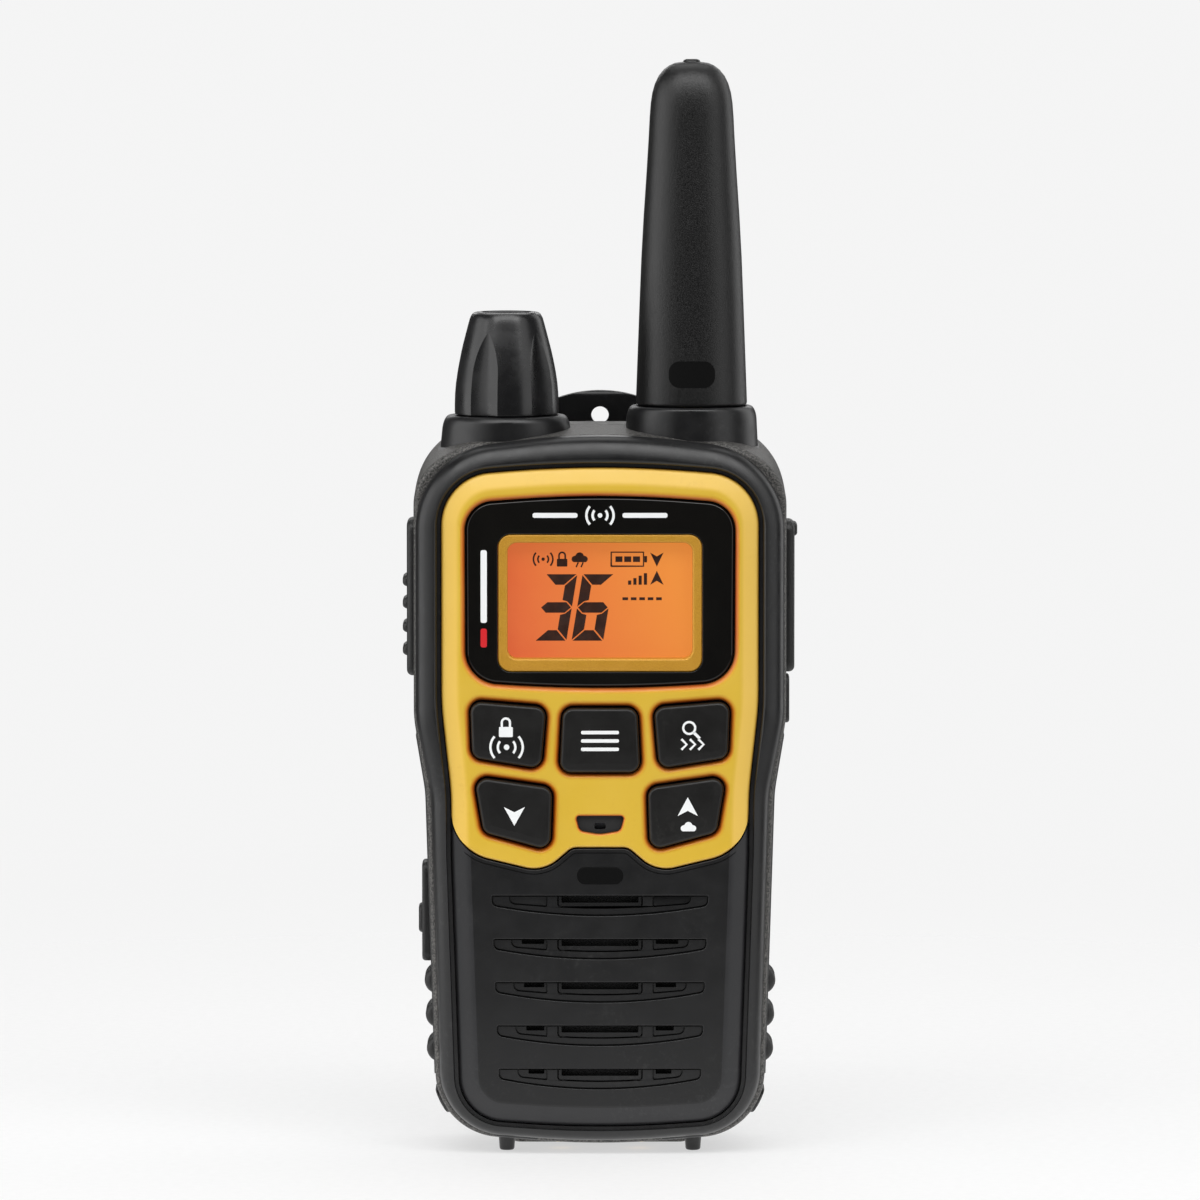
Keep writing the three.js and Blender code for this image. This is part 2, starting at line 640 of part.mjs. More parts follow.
// Levels of the knob: [height, radius, depth of the flutes].
const KNOB_LEVELS = [
  [105.3, 7.45, 0.55], [107.5, 7.5, 0.75], [110, 7.3, 0.75], [112.5, 6.85, 0.7], [115, 6.3, 0.55],
  [117, 5.85, 0.25], [118.4, 5.5, 0], [119.5, 5.1, 0], [119.9, 4.4, 0],
];
const FLUTES = 5;
const FIRST_FLUTE = (-116 * Math.PI) / 180;

function volumeKnob() {
  const perFlute = 8;
  const rings = KNOB_LEVELS.map(([height, radius, depth]) => (
    Array.from({ length: FLUTES * perFlute }, (_, k) => {
      const angle = FIRST_FLUTE + (2 * Math.PI * k) / (FLUTES * perFlute);
      const fromMiddle = Math.min(k % perFlute, perFlute - (k % perFlute));
      const hollow = depth * Math.max(0, 1 - (fromMiddle / 2) ** 2);
      const reach = radius - hollow;
      return new THREE.Vector3(reach * Math.cos(angle), reach * Math.sin(angle), height);
    })
  ));
  const skirt = rod('z', [0, 0], 5.9, 104, 108.4, 20);
  const bore = rod('z', [0, 0], SHAFT_RADIUS + 0.2, 104, 116.6, 16);
  const dish = turned('z', [0, 0], [[0, 119.5], [3.6, 119.9], [3.6, 121], [0, 121]], 20);
  return solid(skin(rings)).subtract(joined(skirt, bore, dish));
}

function volumePot() {
  const can = block([-5, 5], [-4.8, 4.8], [95, 100.2]);
  const bushing = rod('z', [0, 0], BUSHING_RADIUS, 100, 107.4, 20);
  return can.add(bushing).subtract(rod('z', [0, 0], SHAFT_RADIUS + 0.2, 97, 108, 16));
}

piece('volume_pot', volumePot(), STEEL, volume);
piece('pot_nut', rod('z', [0, 0], 4.5, 105.3, 106.9, 6).subtract(
  rod('z', [0, 0], BUSHING_RADIUS + 0.15, 104, 108, 20),
), STEEL, volume);
piece('volume_shaft', rod('z', [0, 0], SHAFT_RADIUS, 97.3, 116.3, 14), STEEL, volume);
piece('volume_knob', volumeKnob(), SOFT_BLACK, volume);

// ---- Antenna, about its own axis ----

const antenna = new THREE.Group();
antenna.position.set(...ANTENNA_AXIS, 0);
radio.add(antenna);

// Levels of the sheath: [height, half width]. Its section is a flattened oval.
const SHEATH_LEVELS = [
  [106.3, 7.95], [112, 7.75], [128, 7.2], [140, 6.45], [148, 6], [151, 5.75], [153, 5.2],
  [154.4, 4.4], [155.4, 3.2], [155.9, 1.6], [156.3, 1.2],
];

function antennaSheath() {
  const squareness = 0.86;
  const depthShare = 0.86;
  const power = (value) => Math.sign(value) * Math.abs(value) ** squareness;
  const rings = SHEATH_LEVELS.map(([height, halfWidth]) => circle([0, 0], 1, 20).map(({ x, y }) => (
    new THREE.Vector3(power(x) * halfWidth, power(y) * halfWidth * depthShare, height)
  )));
  return solid(skin(rings)).subtract(rod('z', [0, 0], 3.2, 105, 146));
}

piece('antenna_sheath', antennaSheath(), SOFT_BLACK, antenna);
piece('antenna_stud', turned('z', [0, 0], [
  [0, 97], [3.4, 97], [3.4, 100.5], [STUD_RADIUS, 100.7], [STUD_RADIUS, 111], [0, 111],
], 16), BRASS, antenna);
piece('antenna_coil', wire(helix(2.3, 111.8, 143, 5), 0.4, 45, 4), COPPER, antenna);

// ---- Talk button and covers on the sides ----

const PTT_RIBS = [82, 78.8, 75.4, 72.1];

function pttButton() {
  const cap = layered('x', PTT, [[PTT_X, 0.8], [PTT_X + 0.4, 0.25], [PTT_X + 1, 0], [-24.4, 0]]);
  const ribs = PTT_RIBS.map((z) => (
    layered('x', rectangle([-12.2, -6.2], [z - 0.9, z + 0.9], 0.6), [[PTT_RIB_X, 0.35], [PTT_X + 0.2, 0]])
  ));
  const tabs = [[67.2, 70], [89.2, 92]].map((span) => block([-24.6, -23.8], [-12.4, -6], span));
  return joined(cap, ...ribs, ...tabs);
}

function jackCover() {
  const cap = layered('x', JACK_COVER, [
    [26.05, 0], [JACK_COVER_X - 0.6, 0], [JACK_COVER_X - 0.2, 0.25], [JACK_COVER_X, 0.7],
  ]);
  const lip = layered('x', rectangle([-11.2, -6.8], [88.4, 90.3], 0.6), [[27.4, 0], [28.2, 0.35]]);
  const plugs = JACKS.map(({ z, radius }) => rod('x', [JACK_Y, z], radius - 0.5, 25.5, 26.2, 12));
  return joined(cap, lip, ...plugs);
}

function usbCover() {
  const cap = layered('x', USB_COVER, [[USB_COVER_X, 0.5], [USB_COVER_X + 0.4, 0], [USB_COVER_X + 1.4, 0]]);
  const pull = layered('x', rectangle([-10.3, -6.2], [31.2, 35.3], 0.6), [
    [USB_COVER_X - 0.5, 0.5], [USB_COVER_X + 0.2, 0],
  ]);
  return cap.add(pull);
}

piece('ptt_button', pttButton(), SOFT_BLACK);
piece('jack_cover', jackCover(), SOFT_BLACK);
piece('jack_cover_anchor', prism('x', JACK_ANCHOR, 26.1, 27.1), SOFT_BLACK);
piece('usb_cover', usbCover(), SOFT_BLACK);

// ---- Battery bay ----

// A cell stands on its flat end; its button end is up.
function cellSolid() {
  const shoulder = CELL_LENGTH - 0.8;
  return turned('z', [0, 0], [
    [0, 0], [CELL_RADIUS - 0.3, 0], [CELL_RADIUS, 0.3], [CELL_RADIUS, shoulder - 0.4],
    [CELL_RADIUS - 0.4, shoulder], [1.9, shoulder], [1.9, CELL_LENGTH], [0, CELL_LENGTH],
  ], 14);
}

// The cells alternate: the outer two stand on their springs, the middle one hangs upside down.
const CELLS = [
  { x: -CELL_PITCH, upright: true }, { x: 0, upright: false }, { x: CELL_PITCH, upright: true },
];
const SPRING_LENGTH = 2.7;

CELLS.forEach(({ x, upright }, i) => {
  const [bayFoot, bayTop] = BAY_Z;
  const end = upright ? bayFoot + 0.5 : bayTop - 0.6;
  const direction = upright ? 1 : -1;
  const coil = helix(2.6, 0.3, SPRING_LENGTH - 0.3, 2.5).map((point, k) => (
    new THREE.Vector3(point.x * (1 - k * 0.02), point.y * (1 - k * 0.02), point.z)
  ));
  const spring = piece(`contact_spring_${i + 1}`, wire(coil, 0.25, 20, 4), STEEL);
  const cell = piece(`battery_cell_${i + 1}`, cellSolid(), CELL_BLUE);
  spring.position.set(x, CELL_Y, end);
  cell.position.set(x, CELL_Y, end + direction * (SPRING_LENGTH + 0.15));
  if (!upright) {
    spring.rotation.x = Math.PI;
    cell.rotation.x = Math.PI;
  }
});

const plateBlock = (z) => block([-15.6, 15.6], [-3.2, 4.2], [z, z + 0.3]);
piece('contact_plate_bottom', plateBlock(BAY_Z[0] + 0.1), STEEL);
piece('contact_plate_top', plateBlock(BAY_Z[1] - 0.5), STEEL);

for (const [name, x] of [['left', -CHARGE_CONTACT_X], ['right', CHARGE_CONTACT_X]]) {
  const contact = rod('z', [0, 0], 1.6, 1, 3.4, 14);
  piece(`charge_contact_${name}`, contact, BRASS).position.set(x, CHARGE_CONTACT_Y, 0);
}

function batteryDoor() {
  const plate = layered('y', DOOR, [[DOOR_SEAT_Y + 0.1, 0], [BACK_Y - 0.3, 0], [BACK_Y, 0.3]]);
  return plate.subtract(block([-2.6, 2.6], [5, 9], [6.2, 9.9]));
}

// The latch's thumb pad is outside the door and its tongue is inside, joined through a slot.
function doorLatch() {
  const pad = layered('y', rectangle([-6, 6], [7.2, 11.4], 1), [[BACK_Y + 0.15, 0], [8.9, 0], [9.2, 0.5]]);
  const neck = block([-2.2, 2.2], [6, 8.5], [8.2, 9.6]);
  const tongue = block([-4, 4], [5.1, 6.15], [6, 9]);
  return joined(pad, neck, tongue);
}

piece('battery_door', batteryDoor(), CASE_TEXTURED);
piece('door_latch', doorLatch(), SOFT_BLACK);

SCREW_PLACES.forEach(([x, z], i) => {
  const screw = turned('y', [0, 0], [
    [0, -9], [SCREW_SHANK_RADIUS, -9], [SCREW_SHANK_RADIUS, 6.1], [SCREW_HEAD_RADIUS, 6.1],
    [SCREW_HEAD_RADIUS, 7], [1.6, 7.5], [0, 7.5],
  ], 10).subtract(joined(
    block([-1.4, 1.4], [6.9, 8], [-0.25, 0.25]),
    block([-0.25, 0.25], [6.9, 8], [-1.4, 1.4]),
  ));
  piece(`case_screw_${i + 1}`, screw, STEEL).position.set(x, 0, z);
});

// ---- Belt clip: bracket, arm, pin and spring ----

const ARM_PROFILE = rounded([
  [14, 57.6, 1], [17.6, 62, 2], [CLIP_BACK_Y, 70, 8], [CLIP_BACK_Y, 86, 20], [17.6, 98, 14],
  [16.2, 107.1, 0.8], [14, 107.1, 0.8], [16.2, 94.5, 3], [16.4, 86, 10], [16.4, 70, 6],
  [15.4, 64, 2], [11.5, 60.6, 1], [9, 59.2, 0.6],
]);
const ARM_FRONT = rounded(mirrored([
  [0, 57], [7.2, 57.2, 4], [8, 66], [8.4, 88, 8], [12.2, 95, 6], [12.2, 103.2, 3.5], [0, 108.85, 18],
]));
const LANYARD_HOLE_Z = 103.6;

function armSolid() {
  const bar = prism('x', ARM_PROFILE, -13, 13).intersect(prism('y', ARM_FRONT, 0, 25));
  const [y, z] = PIVOT;
  const lugOutline = rounded([
    [y - 2.2, z - 2.2, 2.15], [y + 3.4, z - 2.2], [y + 3.4, z + 2.2], [y - 2.2, z + 2.2, 2.15],
  ]);
  const lugs = [[-4.9, -3.4], [3.4, 4.9]].map(([x0, x1]) => prism('x', lugOutline, x0, x1));
  return joined(bar, ...lugs).subtract(joined(
    rod('x', PIVOT, PIN_HOLE_RADIUS, -8, 8, 14),
    rod('y', [0, LANYARD_HOLE_Z], 1.3, 10, 20, 14),
  ));
}

function bracketSolid() {
  const plate = block([-8.9, 8.9], [BACK_Y + FIT, 9.9], [RAIL_Z[0] + 0.4, RAIL_Z[1]]);
  const [y, z] = PIVOT;
  const earOutline = rounded([
    [9.8, 88.5], [y + 2.4, z - 2.4, 2.35], [y + 2.4, z + 2.4, 2.35], [9.8, 98],
  ]);
  const ears = [[-7, -5.5], [5.5, 7]].map(([x0, x1]) => prism('x', earOutline, x0, x1));
  return joined(plate, ...ears).subtract(rod('x', PIVOT, PIN_HOLE_RADIUS, -8, 8, 14));
}

// The spring winds round the pin and pushes the arm away from the bracket above the pin.
function clipSpring() {
  const [y, z] = PIVOT;
  const turns = helix(1.6, -2.2, 2.2, 3.5).map(({ x, y: side, z: along }) => (
    new THREE.Vector3(along, y - x, z + side)
  ));
  const toBracket = new THREE.Vector3(-2.2, 10.5, z + 3.4);
  const toArm = new THREE.Vector3(2.2, 13.9, z + 4);
  return wire([toBracket, ...turns, toArm], 0.25, 34, 4);
}

piece('belt_clip_bracket', bracketSolid(), CASE_BLACK);
piece('belt_clip_arm', armSolid(), CASE_BLACK);
piece('belt_clip_pin', rod('x', PIVOT, PIN_RADIUS, -7.6, 7.6, 12), STEEL);
piece('belt_clip_spring', clipSpring(), STEEL);

export default radio;
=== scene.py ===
"""Looks of a handheld two way radio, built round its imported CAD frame.

Shapes are drawn in millimetres in the frame's axes (+X right, +Y back, +Z up) and become metres where
their mesh is made. Outlines are drawn in (x, z), (y, z) or (x, y), counterclockwise.
"""

import math

import bmesh
import bpy
from mathutils import Matrix, Vector


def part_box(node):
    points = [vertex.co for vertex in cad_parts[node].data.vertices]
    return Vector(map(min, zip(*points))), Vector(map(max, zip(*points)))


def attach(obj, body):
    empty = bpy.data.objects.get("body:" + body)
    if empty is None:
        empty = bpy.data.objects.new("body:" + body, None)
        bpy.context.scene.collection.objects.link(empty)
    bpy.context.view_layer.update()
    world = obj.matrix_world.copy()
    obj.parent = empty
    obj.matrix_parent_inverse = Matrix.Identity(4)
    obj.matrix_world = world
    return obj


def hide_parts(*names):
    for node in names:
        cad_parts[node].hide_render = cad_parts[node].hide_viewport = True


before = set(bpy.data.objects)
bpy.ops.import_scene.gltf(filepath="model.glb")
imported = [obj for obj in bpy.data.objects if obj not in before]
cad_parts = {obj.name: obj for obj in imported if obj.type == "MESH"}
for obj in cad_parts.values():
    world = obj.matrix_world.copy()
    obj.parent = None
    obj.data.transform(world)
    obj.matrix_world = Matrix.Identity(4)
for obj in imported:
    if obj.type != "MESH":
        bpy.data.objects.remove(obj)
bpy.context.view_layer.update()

MM = 0.001

# Depths and heights that the CAD model sets.
BEZEL_Y = -18.2
FRAME_Y = -18.0
POCKET_Y = -15.4
STEP_Y = -14.2
FRONT_INNER_Y = -13.8
PARTING_Y = -4.0
BACK_INNER_Y = 6.4
BACK_Y = 8.2
WALL = 1.8
HAIRLINE = 0.06                # half of the line between the shells
KNOB_AXIS = (-13.4, -6)
KNOB_SEAT_Z = 105.4
ANTENNA_AXIS = (13.1, -6)
ANTENNA_SEAT_Z = 106.75
PIVOT = (13.2, 94.5)
MICROPHONE_Z = 47.3
SPEAKER_Z = 24.5
LANYARD_Z = 104.1
PEG_X = 13.35
CHARGE_X, CHARGE_Y = 5.5, -9
SCREW_PLACES = [(-19.4, 91.5), (19.4, 91.5), (-19.4, 63), (19.4, 63)]
BAY_X, BAY_Z = 16.8, (8, 56.5)


# ---- Outlines ----

def cross(a, b):
    return a.x * b.y - a.y * b.x


def rounded(corners, sag=0.004):
    """Corners (x, y, radius) become a closed outline; sag is how far a facet may stray from its arc."""
    outline = []
    for i, (x, y, *rest) in enumerate(corners):
        corner, radius = Vector((x, y)), rest[0] if rest else 0
        if not radius:
            outline.append(corner)
            continue
        before = (Vector(corners[i - 1][:2]) - corner).normalized()
        after = (Vector(corners[(i + 1) % len(corners)][:2]) - corner).normalized()
        half = math.acos(before.dot(after)) / 2
        turn = math.copysign(math.pi - 2 * half, cross(after, before))
        middle = corner + (before + after).normalized() * radius / math.sin(half)
        start = corner + before * radius / math.tan(half) - middle
        count = max(1, math.ceil(abs(turn) / (2 * math.acos(1 - sag / radius))))
        outline += [middle + Matrix.Rotation(turn * k / count, 2) @ start for k in range(count + 1)]
    return outline


def mirrored(half):
    """The right half of an outline, from its lowest to its highest point on the middle line."""
    return half + [(-x, *rest) for x, *rest in reversed(half[1:-1])]


def rectangle(xs, ys, radius=0):
    (x0, x1), (y0, y1) = xs, ys
    return rounded([(x0, y0, radius), (x1, y0, radius), (x1, y1, radius), (x0, y1, radius)])


def span(side, near, far):
    """A range of X on the left (side -1) or on the right (1)."""
    return sorted((side * near, side * far))


def circle(place, radius, sides=48):
    x, y = place
    angles = [math.tau * k / sides for k in range(sides)]
    return [Vector((x + radius * math.cos(a), y + radius * math.sin(a))) for a in angles]


def inset(outline, distance):
    """Moves every side inwards by a distance."""
    moved = []
    for i, point in enumerate(outline):
        u = (point - outline[i - 1]).normalized()
        v = (outline[(i + 1) % len(outline)] - point).normalized()
        normal = Vector((-u.y, u.x))
        miter = Vector((-u.y - v.y, u.x + v.x)).normalized()
        moved.append(point + miter * distance / miter.dot(normal))
    return moved


def grown(outline, distance):
    return inset(outline, -distance)


def turned_over(corners):
    """The same outline on the other side of the middle line."""
    return [(-x, *rest) for x, *rest in reversed(corners)]


def ribbon(points, width):
    """The outline of a line of even width through some points."""
    points = [Vector(p) for p in points]
    sides = []
    for i, point in enumerate(points):
        ahead = points[min(i + 1, len(points) - 1)] - point
        behind = point - points[max(i - 1, 0)]
        along = (ahead.normalized() + behind.normalized()).normalized()
        sides.append(Vector((-along.y, along.x)) * width / 2)
    right = [p - s for p, s in zip(points, sides)]
    left = [p + s for p, s in zip(points, sides)]
    return right + left[::-1]


def arc(place, radius, start, end, steps=14):
    """Points on part of a circle, between two angles in degrees."""
    x, y = place
    angles = [math.radians(start + (end - start) * k / steps) for k in range(steps + 1)]
    return [(x + radius * math.cos(a), y + radius * math.sin(a)) for a in angles]


# ---- Solids ----

PLACES = {
    "x": lambda u, v, height: (height, u, v),
    "y": lambda u, v, height: (u, -height, v),
    "z": lambda u, v, height: (u, v, height),
}


def placed(name, data):
    """A new object in the scene."""
    obj = bpy.data.objects.new(name, data)
    bpy.context.scene.collection.objects.link(obj)
    return obj


def evaluated(obj):
    """The mesh that an object has after its modifiers."""
    bpy.context.view_layer.update()
    return bpy.data.meshes.new_from_object(obj.evaluated_get(bpy.context.evaluated_depsgraph_get()))


def new_object(name, verts, faces):
    mesh = bpy.data.meshes.new(name)
    mesh.from_pydata([Vector(v) * MM for v in verts], [], faces)
    return placed(name, mesh)


def skin(name, axis, rings):
    """A closed skin over rings of points (u, v, height) that have the same number each and go upwards."""
    count = len(rings[0])
    faces = [tuple(reversed(range(count)))]
    for low in range(0, count * (len(rings) - 1), count):
        for i in range(count):
            j = (i + 1) % count
            faces.append((low + i, low + j, low + count + j, low + count + i))
    faces.append(tuple(range(count * (len(rings) - 1), count * len(rings))))
    return new_object(name, [PLACES[axis](*point) for ring in rings for point in ring], faces)


def layered(name, axis, outline, levels):
    """An outline carried along an axis through levels (place, inset)."""
    if axis == "y":
        levels = [(-y, distance) for y, distance in reversed(levels)]
    rings = [[(p.x, p.y, height) for p in inset(outline, d)] for height, d in levels]
    return skin(name, axis, rings)


def prism(name, axis, outline, start, end):
    return layered(name, axis, outline, [(start, 0), (end, 0)])


def rod(name, axis, place, radius, start, end, sides=48):
    return prism(name, axis, circle(place, radius, sides), start, end)


def block(name, xs, ys, zs):
    return prism(name, "z", rectangle(xs, ys), *zs)


def lathe(name, axis, place, profile, sides=64):
    """A profile (radius, height) turned about an axis. It goes upwards on the outside."""
    u, v = place
    rings = []
    for radius, height in profile:
        level = -height if axis == "y" else height
        rings.append([(p.x, p.y, level) for p in circle((u, v), max(radius, 1e-3), sides)])
    if axis == "y":
        rings.reverse()
    return skin(name, axis, rings)


def edge(face, depth, radius, steps=6):
    """Levels of a rounded edge, from the face inwards: negative depth rounds the far end."""
    angles = [math.pi / 2 * k / steps for k in range(steps + 1)]
    levels = [(face + depth * (1 - math.cos(a)), radius * (1 - math.sin(a))) for a in angles]
    return levels if depth > 0 else levels[::-1]


def mouth(face, bottom, radius):
    """Levels of a cutter whose hole gets a rounded rim in the face it starts from."""
    return [(face - 3, -radius)] + edge(face, radius, -radius) + [(bottom, 0)]


def combine(operation, target, others):
    for other in others:
        modifier = target.modifiers.new("combine", "BOOLEAN")
        modifier.operation = operation
        modifier.solver = "MANIFOLD"
        modifier.object = other
    mesh = evaluated(target)
    target.modifiers.clear()
    target.data = mesh
    for other in others:
        bpy.data.objects.remove(other)
    return target


def tidied(obj):
    """Joins the triangles of each flat face."""
    work = bmesh.new()
    work.from_mesh(obj.data)
    bmesh.ops.remove_doubles(work, verts=work.verts, dist=2e-7)
    bmesh.ops.dissolve_limit(work, angle_limit=math.radians(0.05), verts=work.verts, edges=work.edges)
    work.to_mesh(obj.data)
    work.free()
    return obj


def cut(target, *cutters):
    return combine("DIFFERENCE", target, cutters)


def join(target, *others):
    return combine("UNION", target, others)


def common(target, *others):
    return combine("INTERSECT", target, others)


def gathered(name, objects):
    """Several separate solids as one object."""
    work = bmesh.new()
    for obj in objects:
        work.from_mesh(obj.data)
        bpy.data.objects.remove(obj)
    mesh = bpy.data.meshes.new(name)
    work.to_mesh(mesh)
    work.free()
    return placed(name, mesh)


def marks(name, outlines, front, thickness=0.03):
    """Printed marks on a face that looks to the front: thin plates of the given outlines."""
    plates = []
    for outline in outlines:
        outline = [Vector(p) for p in outline]
        area = sum(cross(a, b) for a, b in zip(outline, outline[1:] + outline[:1]))
        plates.append(prism(name, "y", outline if area > 0 else outline[::-1], front - thickness, front))
    return gathered(name, plates)


def keep_flats_flat(mesh):
    """Marks the edges sharp where a face that is square to an axis meets one that isn't."""
    square = [max(abs(c) for c in face.normal) > 0.999999 for face in mesh.polygons]
    seen = {}
    for face, flat in zip(mesh.polygons, square):
        for key in face.edge_keys:
            seen.setdefault(key, set()).add(flat)
    for line in mesh.edges:
        if len(seen.get(line.key, ())) == 2:
            line.use_edge_sharp = True


def smooth(obj, angle=33):
    mesh = obj.data
    mesh.shade_smooth()
    mesh.set_sharp_from_angle(angle=math.radians(angle))
    keep_flats_flat(mesh)
    weighted = obj.modifiers.new("weighted_normals", "WEIGHTED_NORMAL")
    weighted.keep_sharp = True
    return obj


def piece(obj, name, material, body="case", replaces=(), angle=33, tidy=True):
    """Names a finished solid, gives it its material and hangs it on its CAD body."""
    obj.name = name
    obj.data.name = name
    obj.data.materials.clear()
    obj.data.materials.append(material)
    smooth(tidied(obj) if tidy else obj, angle)
    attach(obj, body)
    if replaces:
        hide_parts(*replaces)
    return obj


def repaint(obj, material, chosen):
    """Gives a second material to the faces whose middle, in millimetres, is chosen."""
    obj.data.materials.append(material)
    index = len(obj.data.materials) - 1
    for face in obj.data.polygons:
        if chosen(face.center / MM, face.normal):
            face.material_index = index
    return obj


# ---- Materials ----

def tone(red, green, blue):
    """A colour of 0 to 255 per channel as scene-linear RGBA."""
    def linear(value):
        value /= 255
        return value / 12.92 if value <= 0.04045 else ((value + 0.055) / 1.055) ** 2.4
    return (linear(red), linear(green), linear(blue), 1)


def scaled(colour, share):
    """A colour times a share, no lighter than white."""
    return (*(min(1, c * share) for c in colour[:3]), 1)


class Shader:
    """A material under construction. Sizes of its patterns are in millimetres."""

    def __init__(self, name):
        self.material = bpy.data.materials.new(name)
        self.material.use_nodes = True
        self.tree = self.material.node_tree
        self.surface = self.tree.nodes["Principled BSDF"]
        self.place = self.node("ShaderNodeTexCoord").outputs["Object"]

    def node(self, kind, inputs=None, **settings):
        made = self.tree.nodes.new(kind)
        for key, value in settings.items():
            setattr(made, key, value)
        for key, value in (inputs or {}).items():
            self.feed(made.inputs[key], value)
        return made

    def feed(self, socket, value):
        if isinstance(value, bpy.types.NodeSocket):
            self.tree.links.new(value, socket)
        else:
            socket.default_value = value

    def noise(self, size, detail=2.0, roughness=0.5):
        made = self.node("ShaderNodeTexNoise", {
            "Vector": self.place, "Scale": 1 / (size * MM), "Detail": detail, "Roughness": roughness})
        return made.outputs["Fac"]

    def cells(self, size):
        made = self.node("ShaderNodeTexVoronoi", {"Vector": self.place, "Scale": 1 / (size * MM)})
        return made.outputs["Distance"]

    def spread(self, value, low, high, start=0.35, end=0.65):
        made = self.node("ShaderNodeMapRange", {
            "Value": value, "From Min": start, "From Max": end, "To Min": low, "To Max": high})
        return made.outputs["Result"]

    def mix(self, share, first, second, blend="MIX"):
        made = self.node("ShaderNodeMix", data_type="RGBA", blend_type=blend)
        self.feed(made.inputs[0], share)
        self.feed(made.inputs[6], first)
        self.feed(made.inputs[7], second)
        return made.outputs[2]

    def maths(self, operation, *values):
        made = self.node("ShaderNodeMath", operation=operation)
        for socket, value in zip(made.inputs, values):
            self.feed(socket, value)
        return made.outputs[0]

    def set(self, **values):
        for key, value in values.items():
            self.feed(self.surface.inputs[key.replace("_", " ")], value)
        return self

    def bump(self, *layers):
        """Layers (height, depth in millimetres), one over the other."""
        normal = None
        for height, depth in layers:
            made = self.node("ShaderNodeBump", {"Height": height, "Strength": 1.0, "Distance": depth * MM})
            if normal is not None:
                self.feed(made.inputs["Normal"], normal)
            normal = made.outputs["Normal"]
        return self.set(Normal=normal)

    def finished(self, colour, gloss, *bumps, **more):
        """The material with its colour, its roughness and its layers of bump."""
        self.set(Base_Color=colour, Roughness=gloss, **more)
        if bumps:
            self.bump(*bumps)
        return self.material

    def worn(self, colour, rubbed, amount):
        """Mixes in a rubbed colour in faint, broken scuffs."""
        patches = self.spread(self.noise(14, 2), 0, amount, 0.5, 0.7)
        share = self.maths("MULTIPLY", patches, self.spread(self.noise(0.8, 6, 0.7), 0, 1, 0.52, 0.7))
        return self.mix(share, colour, rubbed)


def plastic(name, colour, roughness, grain=0.25, depth=0.01, contrast=0.12, rubbed=None, shine=0.5):
    """Moulded plastic: mottled colour, uneven gloss and a fine moulded grain."""
    shader = Shader(name)
    dark = scaled(colour, 1 - contrast)
    base = shader.mix(shader.spread(shader.noise(9, 3), 0, 1), dark, scaled(colour, 1 + contrast))
    base = shader.mix(shader.spread(shader.noise(grain * 1.3), 0, 0.35), base, dark)
    if rubbed:
        base = shader.worn(base, rubbed, 0.5)
    gloss = shader.spread(shader.noise(3.5, 5, 0.6), roughness - 0.05, roughness + 0.05)
    return shader.finished(base, gloss, (shader.noise(grain * 6, 3), depth * 0.6),
                           (shader.noise(grain), depth), Specular_IOR_Level=shine)


def textured(name, low, high, size, depth, roughness):
    """Moulded plastic with a sandy texture: slightly paler grains over a darker ground."""
    shader = Shader(name)
    grains = shader.noise(size, 2, 0.6)
    ground = shader.mix(shader.spread(shader.noise(12, 3), 0, 0.4), low, scaled(low, 0.75))
    base = shader.mix(shader.spread(grains, 0, 1, 0.4, 0.7), ground, high)
    base = shader.worn(base, high, 0.5)
    gloss = shader.spread(grains, roughness - 0.08, roughness + 0.06, 0.4, 0.6)
    return shader.finished(base, gloss, (shader.noise(size * 5, 3), depth * 0.5), (grains, depth))


def metal(name, colour, roughness, brushed=0.15):
    """Plated metal with fine scratches along X."""
    shader = Shader(name)
    stretched = shader.node("ShaderNodeMapping", {"Vector": shader.place, "Scale": (0.06, 1, 1)})
    lines = shader.node("ShaderNodeTexNoise", {
        "Vector": stretched.outputs["Vector"], "Scale": 1 / (brushed * MM), "Detail": 4.0})
    base = shader.mix(shader.spread(shader.noise(2.2, 4), 0, 0.6), colour, scaled(colour, 0.72))
    gloss = shader.spread(lines.outputs["Fac"], roughness - 0.08, roughness + 0.1)
    return shader.finished(base, gloss, (lines.outputs["Fac"], 0.004), Metallic=1.0)


CASE_SMOOTH = plastic("case_smooth", tone(16, 16, 17), 0.36, 0.2, 0.006, 0.1, tone(60, 60, 60))
CASE_TEXTURED = textured("case_textured", tone(27, 27, 26), tone(108, 106, 103), 0.25, 0.1, 0.5)
GRILLE_BLACK = plastic("grille_black", tone(13, 13, 14), 0.34, 0.16, 0.005, 0.08, tone(50, 50, 50))
# Painted reflection: a paler grey for the grille's sloping band, standing in for the pale room that the slope
# reflects.
GRILLE_SLOPE_PAINTED_REFLECTION = plastic("grille_slope_painted_reflection", tone(31, 31, 33), 0.4, 0.16, 0.005, 0.08, tone(60, 60, 60))
KEY_RUBBER = plastic("key_rubber", tone(14, 13, 12), 0.42, 0.14, 0.006, 0.1, tone(48, 47, 45), 0.4)
SIDE_RUBBER = textured("side_rubber", tone(13, 13, 13), tone(30, 30, 30), 0.2, 0.05, 0.48)
KNOB_BLACK = plastic("knob_black", tone(19, 19, 20), 0.28, 0.2, 0.003, 0.08, tone(56, 57, 58))
ANTENNA_BLACK = textured("antenna_black", tone(6, 6, 6), tone(17, 17, 17), 0.16, 0.035, 0.41)
INNER_BLACK = plastic("inner_black", tone(22, 22, 22), 0.7, 0.3, 0.01)
BACKLIGHT_WHITE = plastic("backlight_white", tone(232, 232, 226), 0.4, 0.3, 0.003, 0.03)
PRINT_WHITE = plastic("print_white", tone(236, 238, 238), 0.5, 0.12, 0.003, 0.02)
PRINT_RED = plastic("print_red", tone(206, 30, 38), 0.45, 0.12, 0.003, 0.05)
STEEL = metal("steel", tone(196, 198, 202), 0.3)
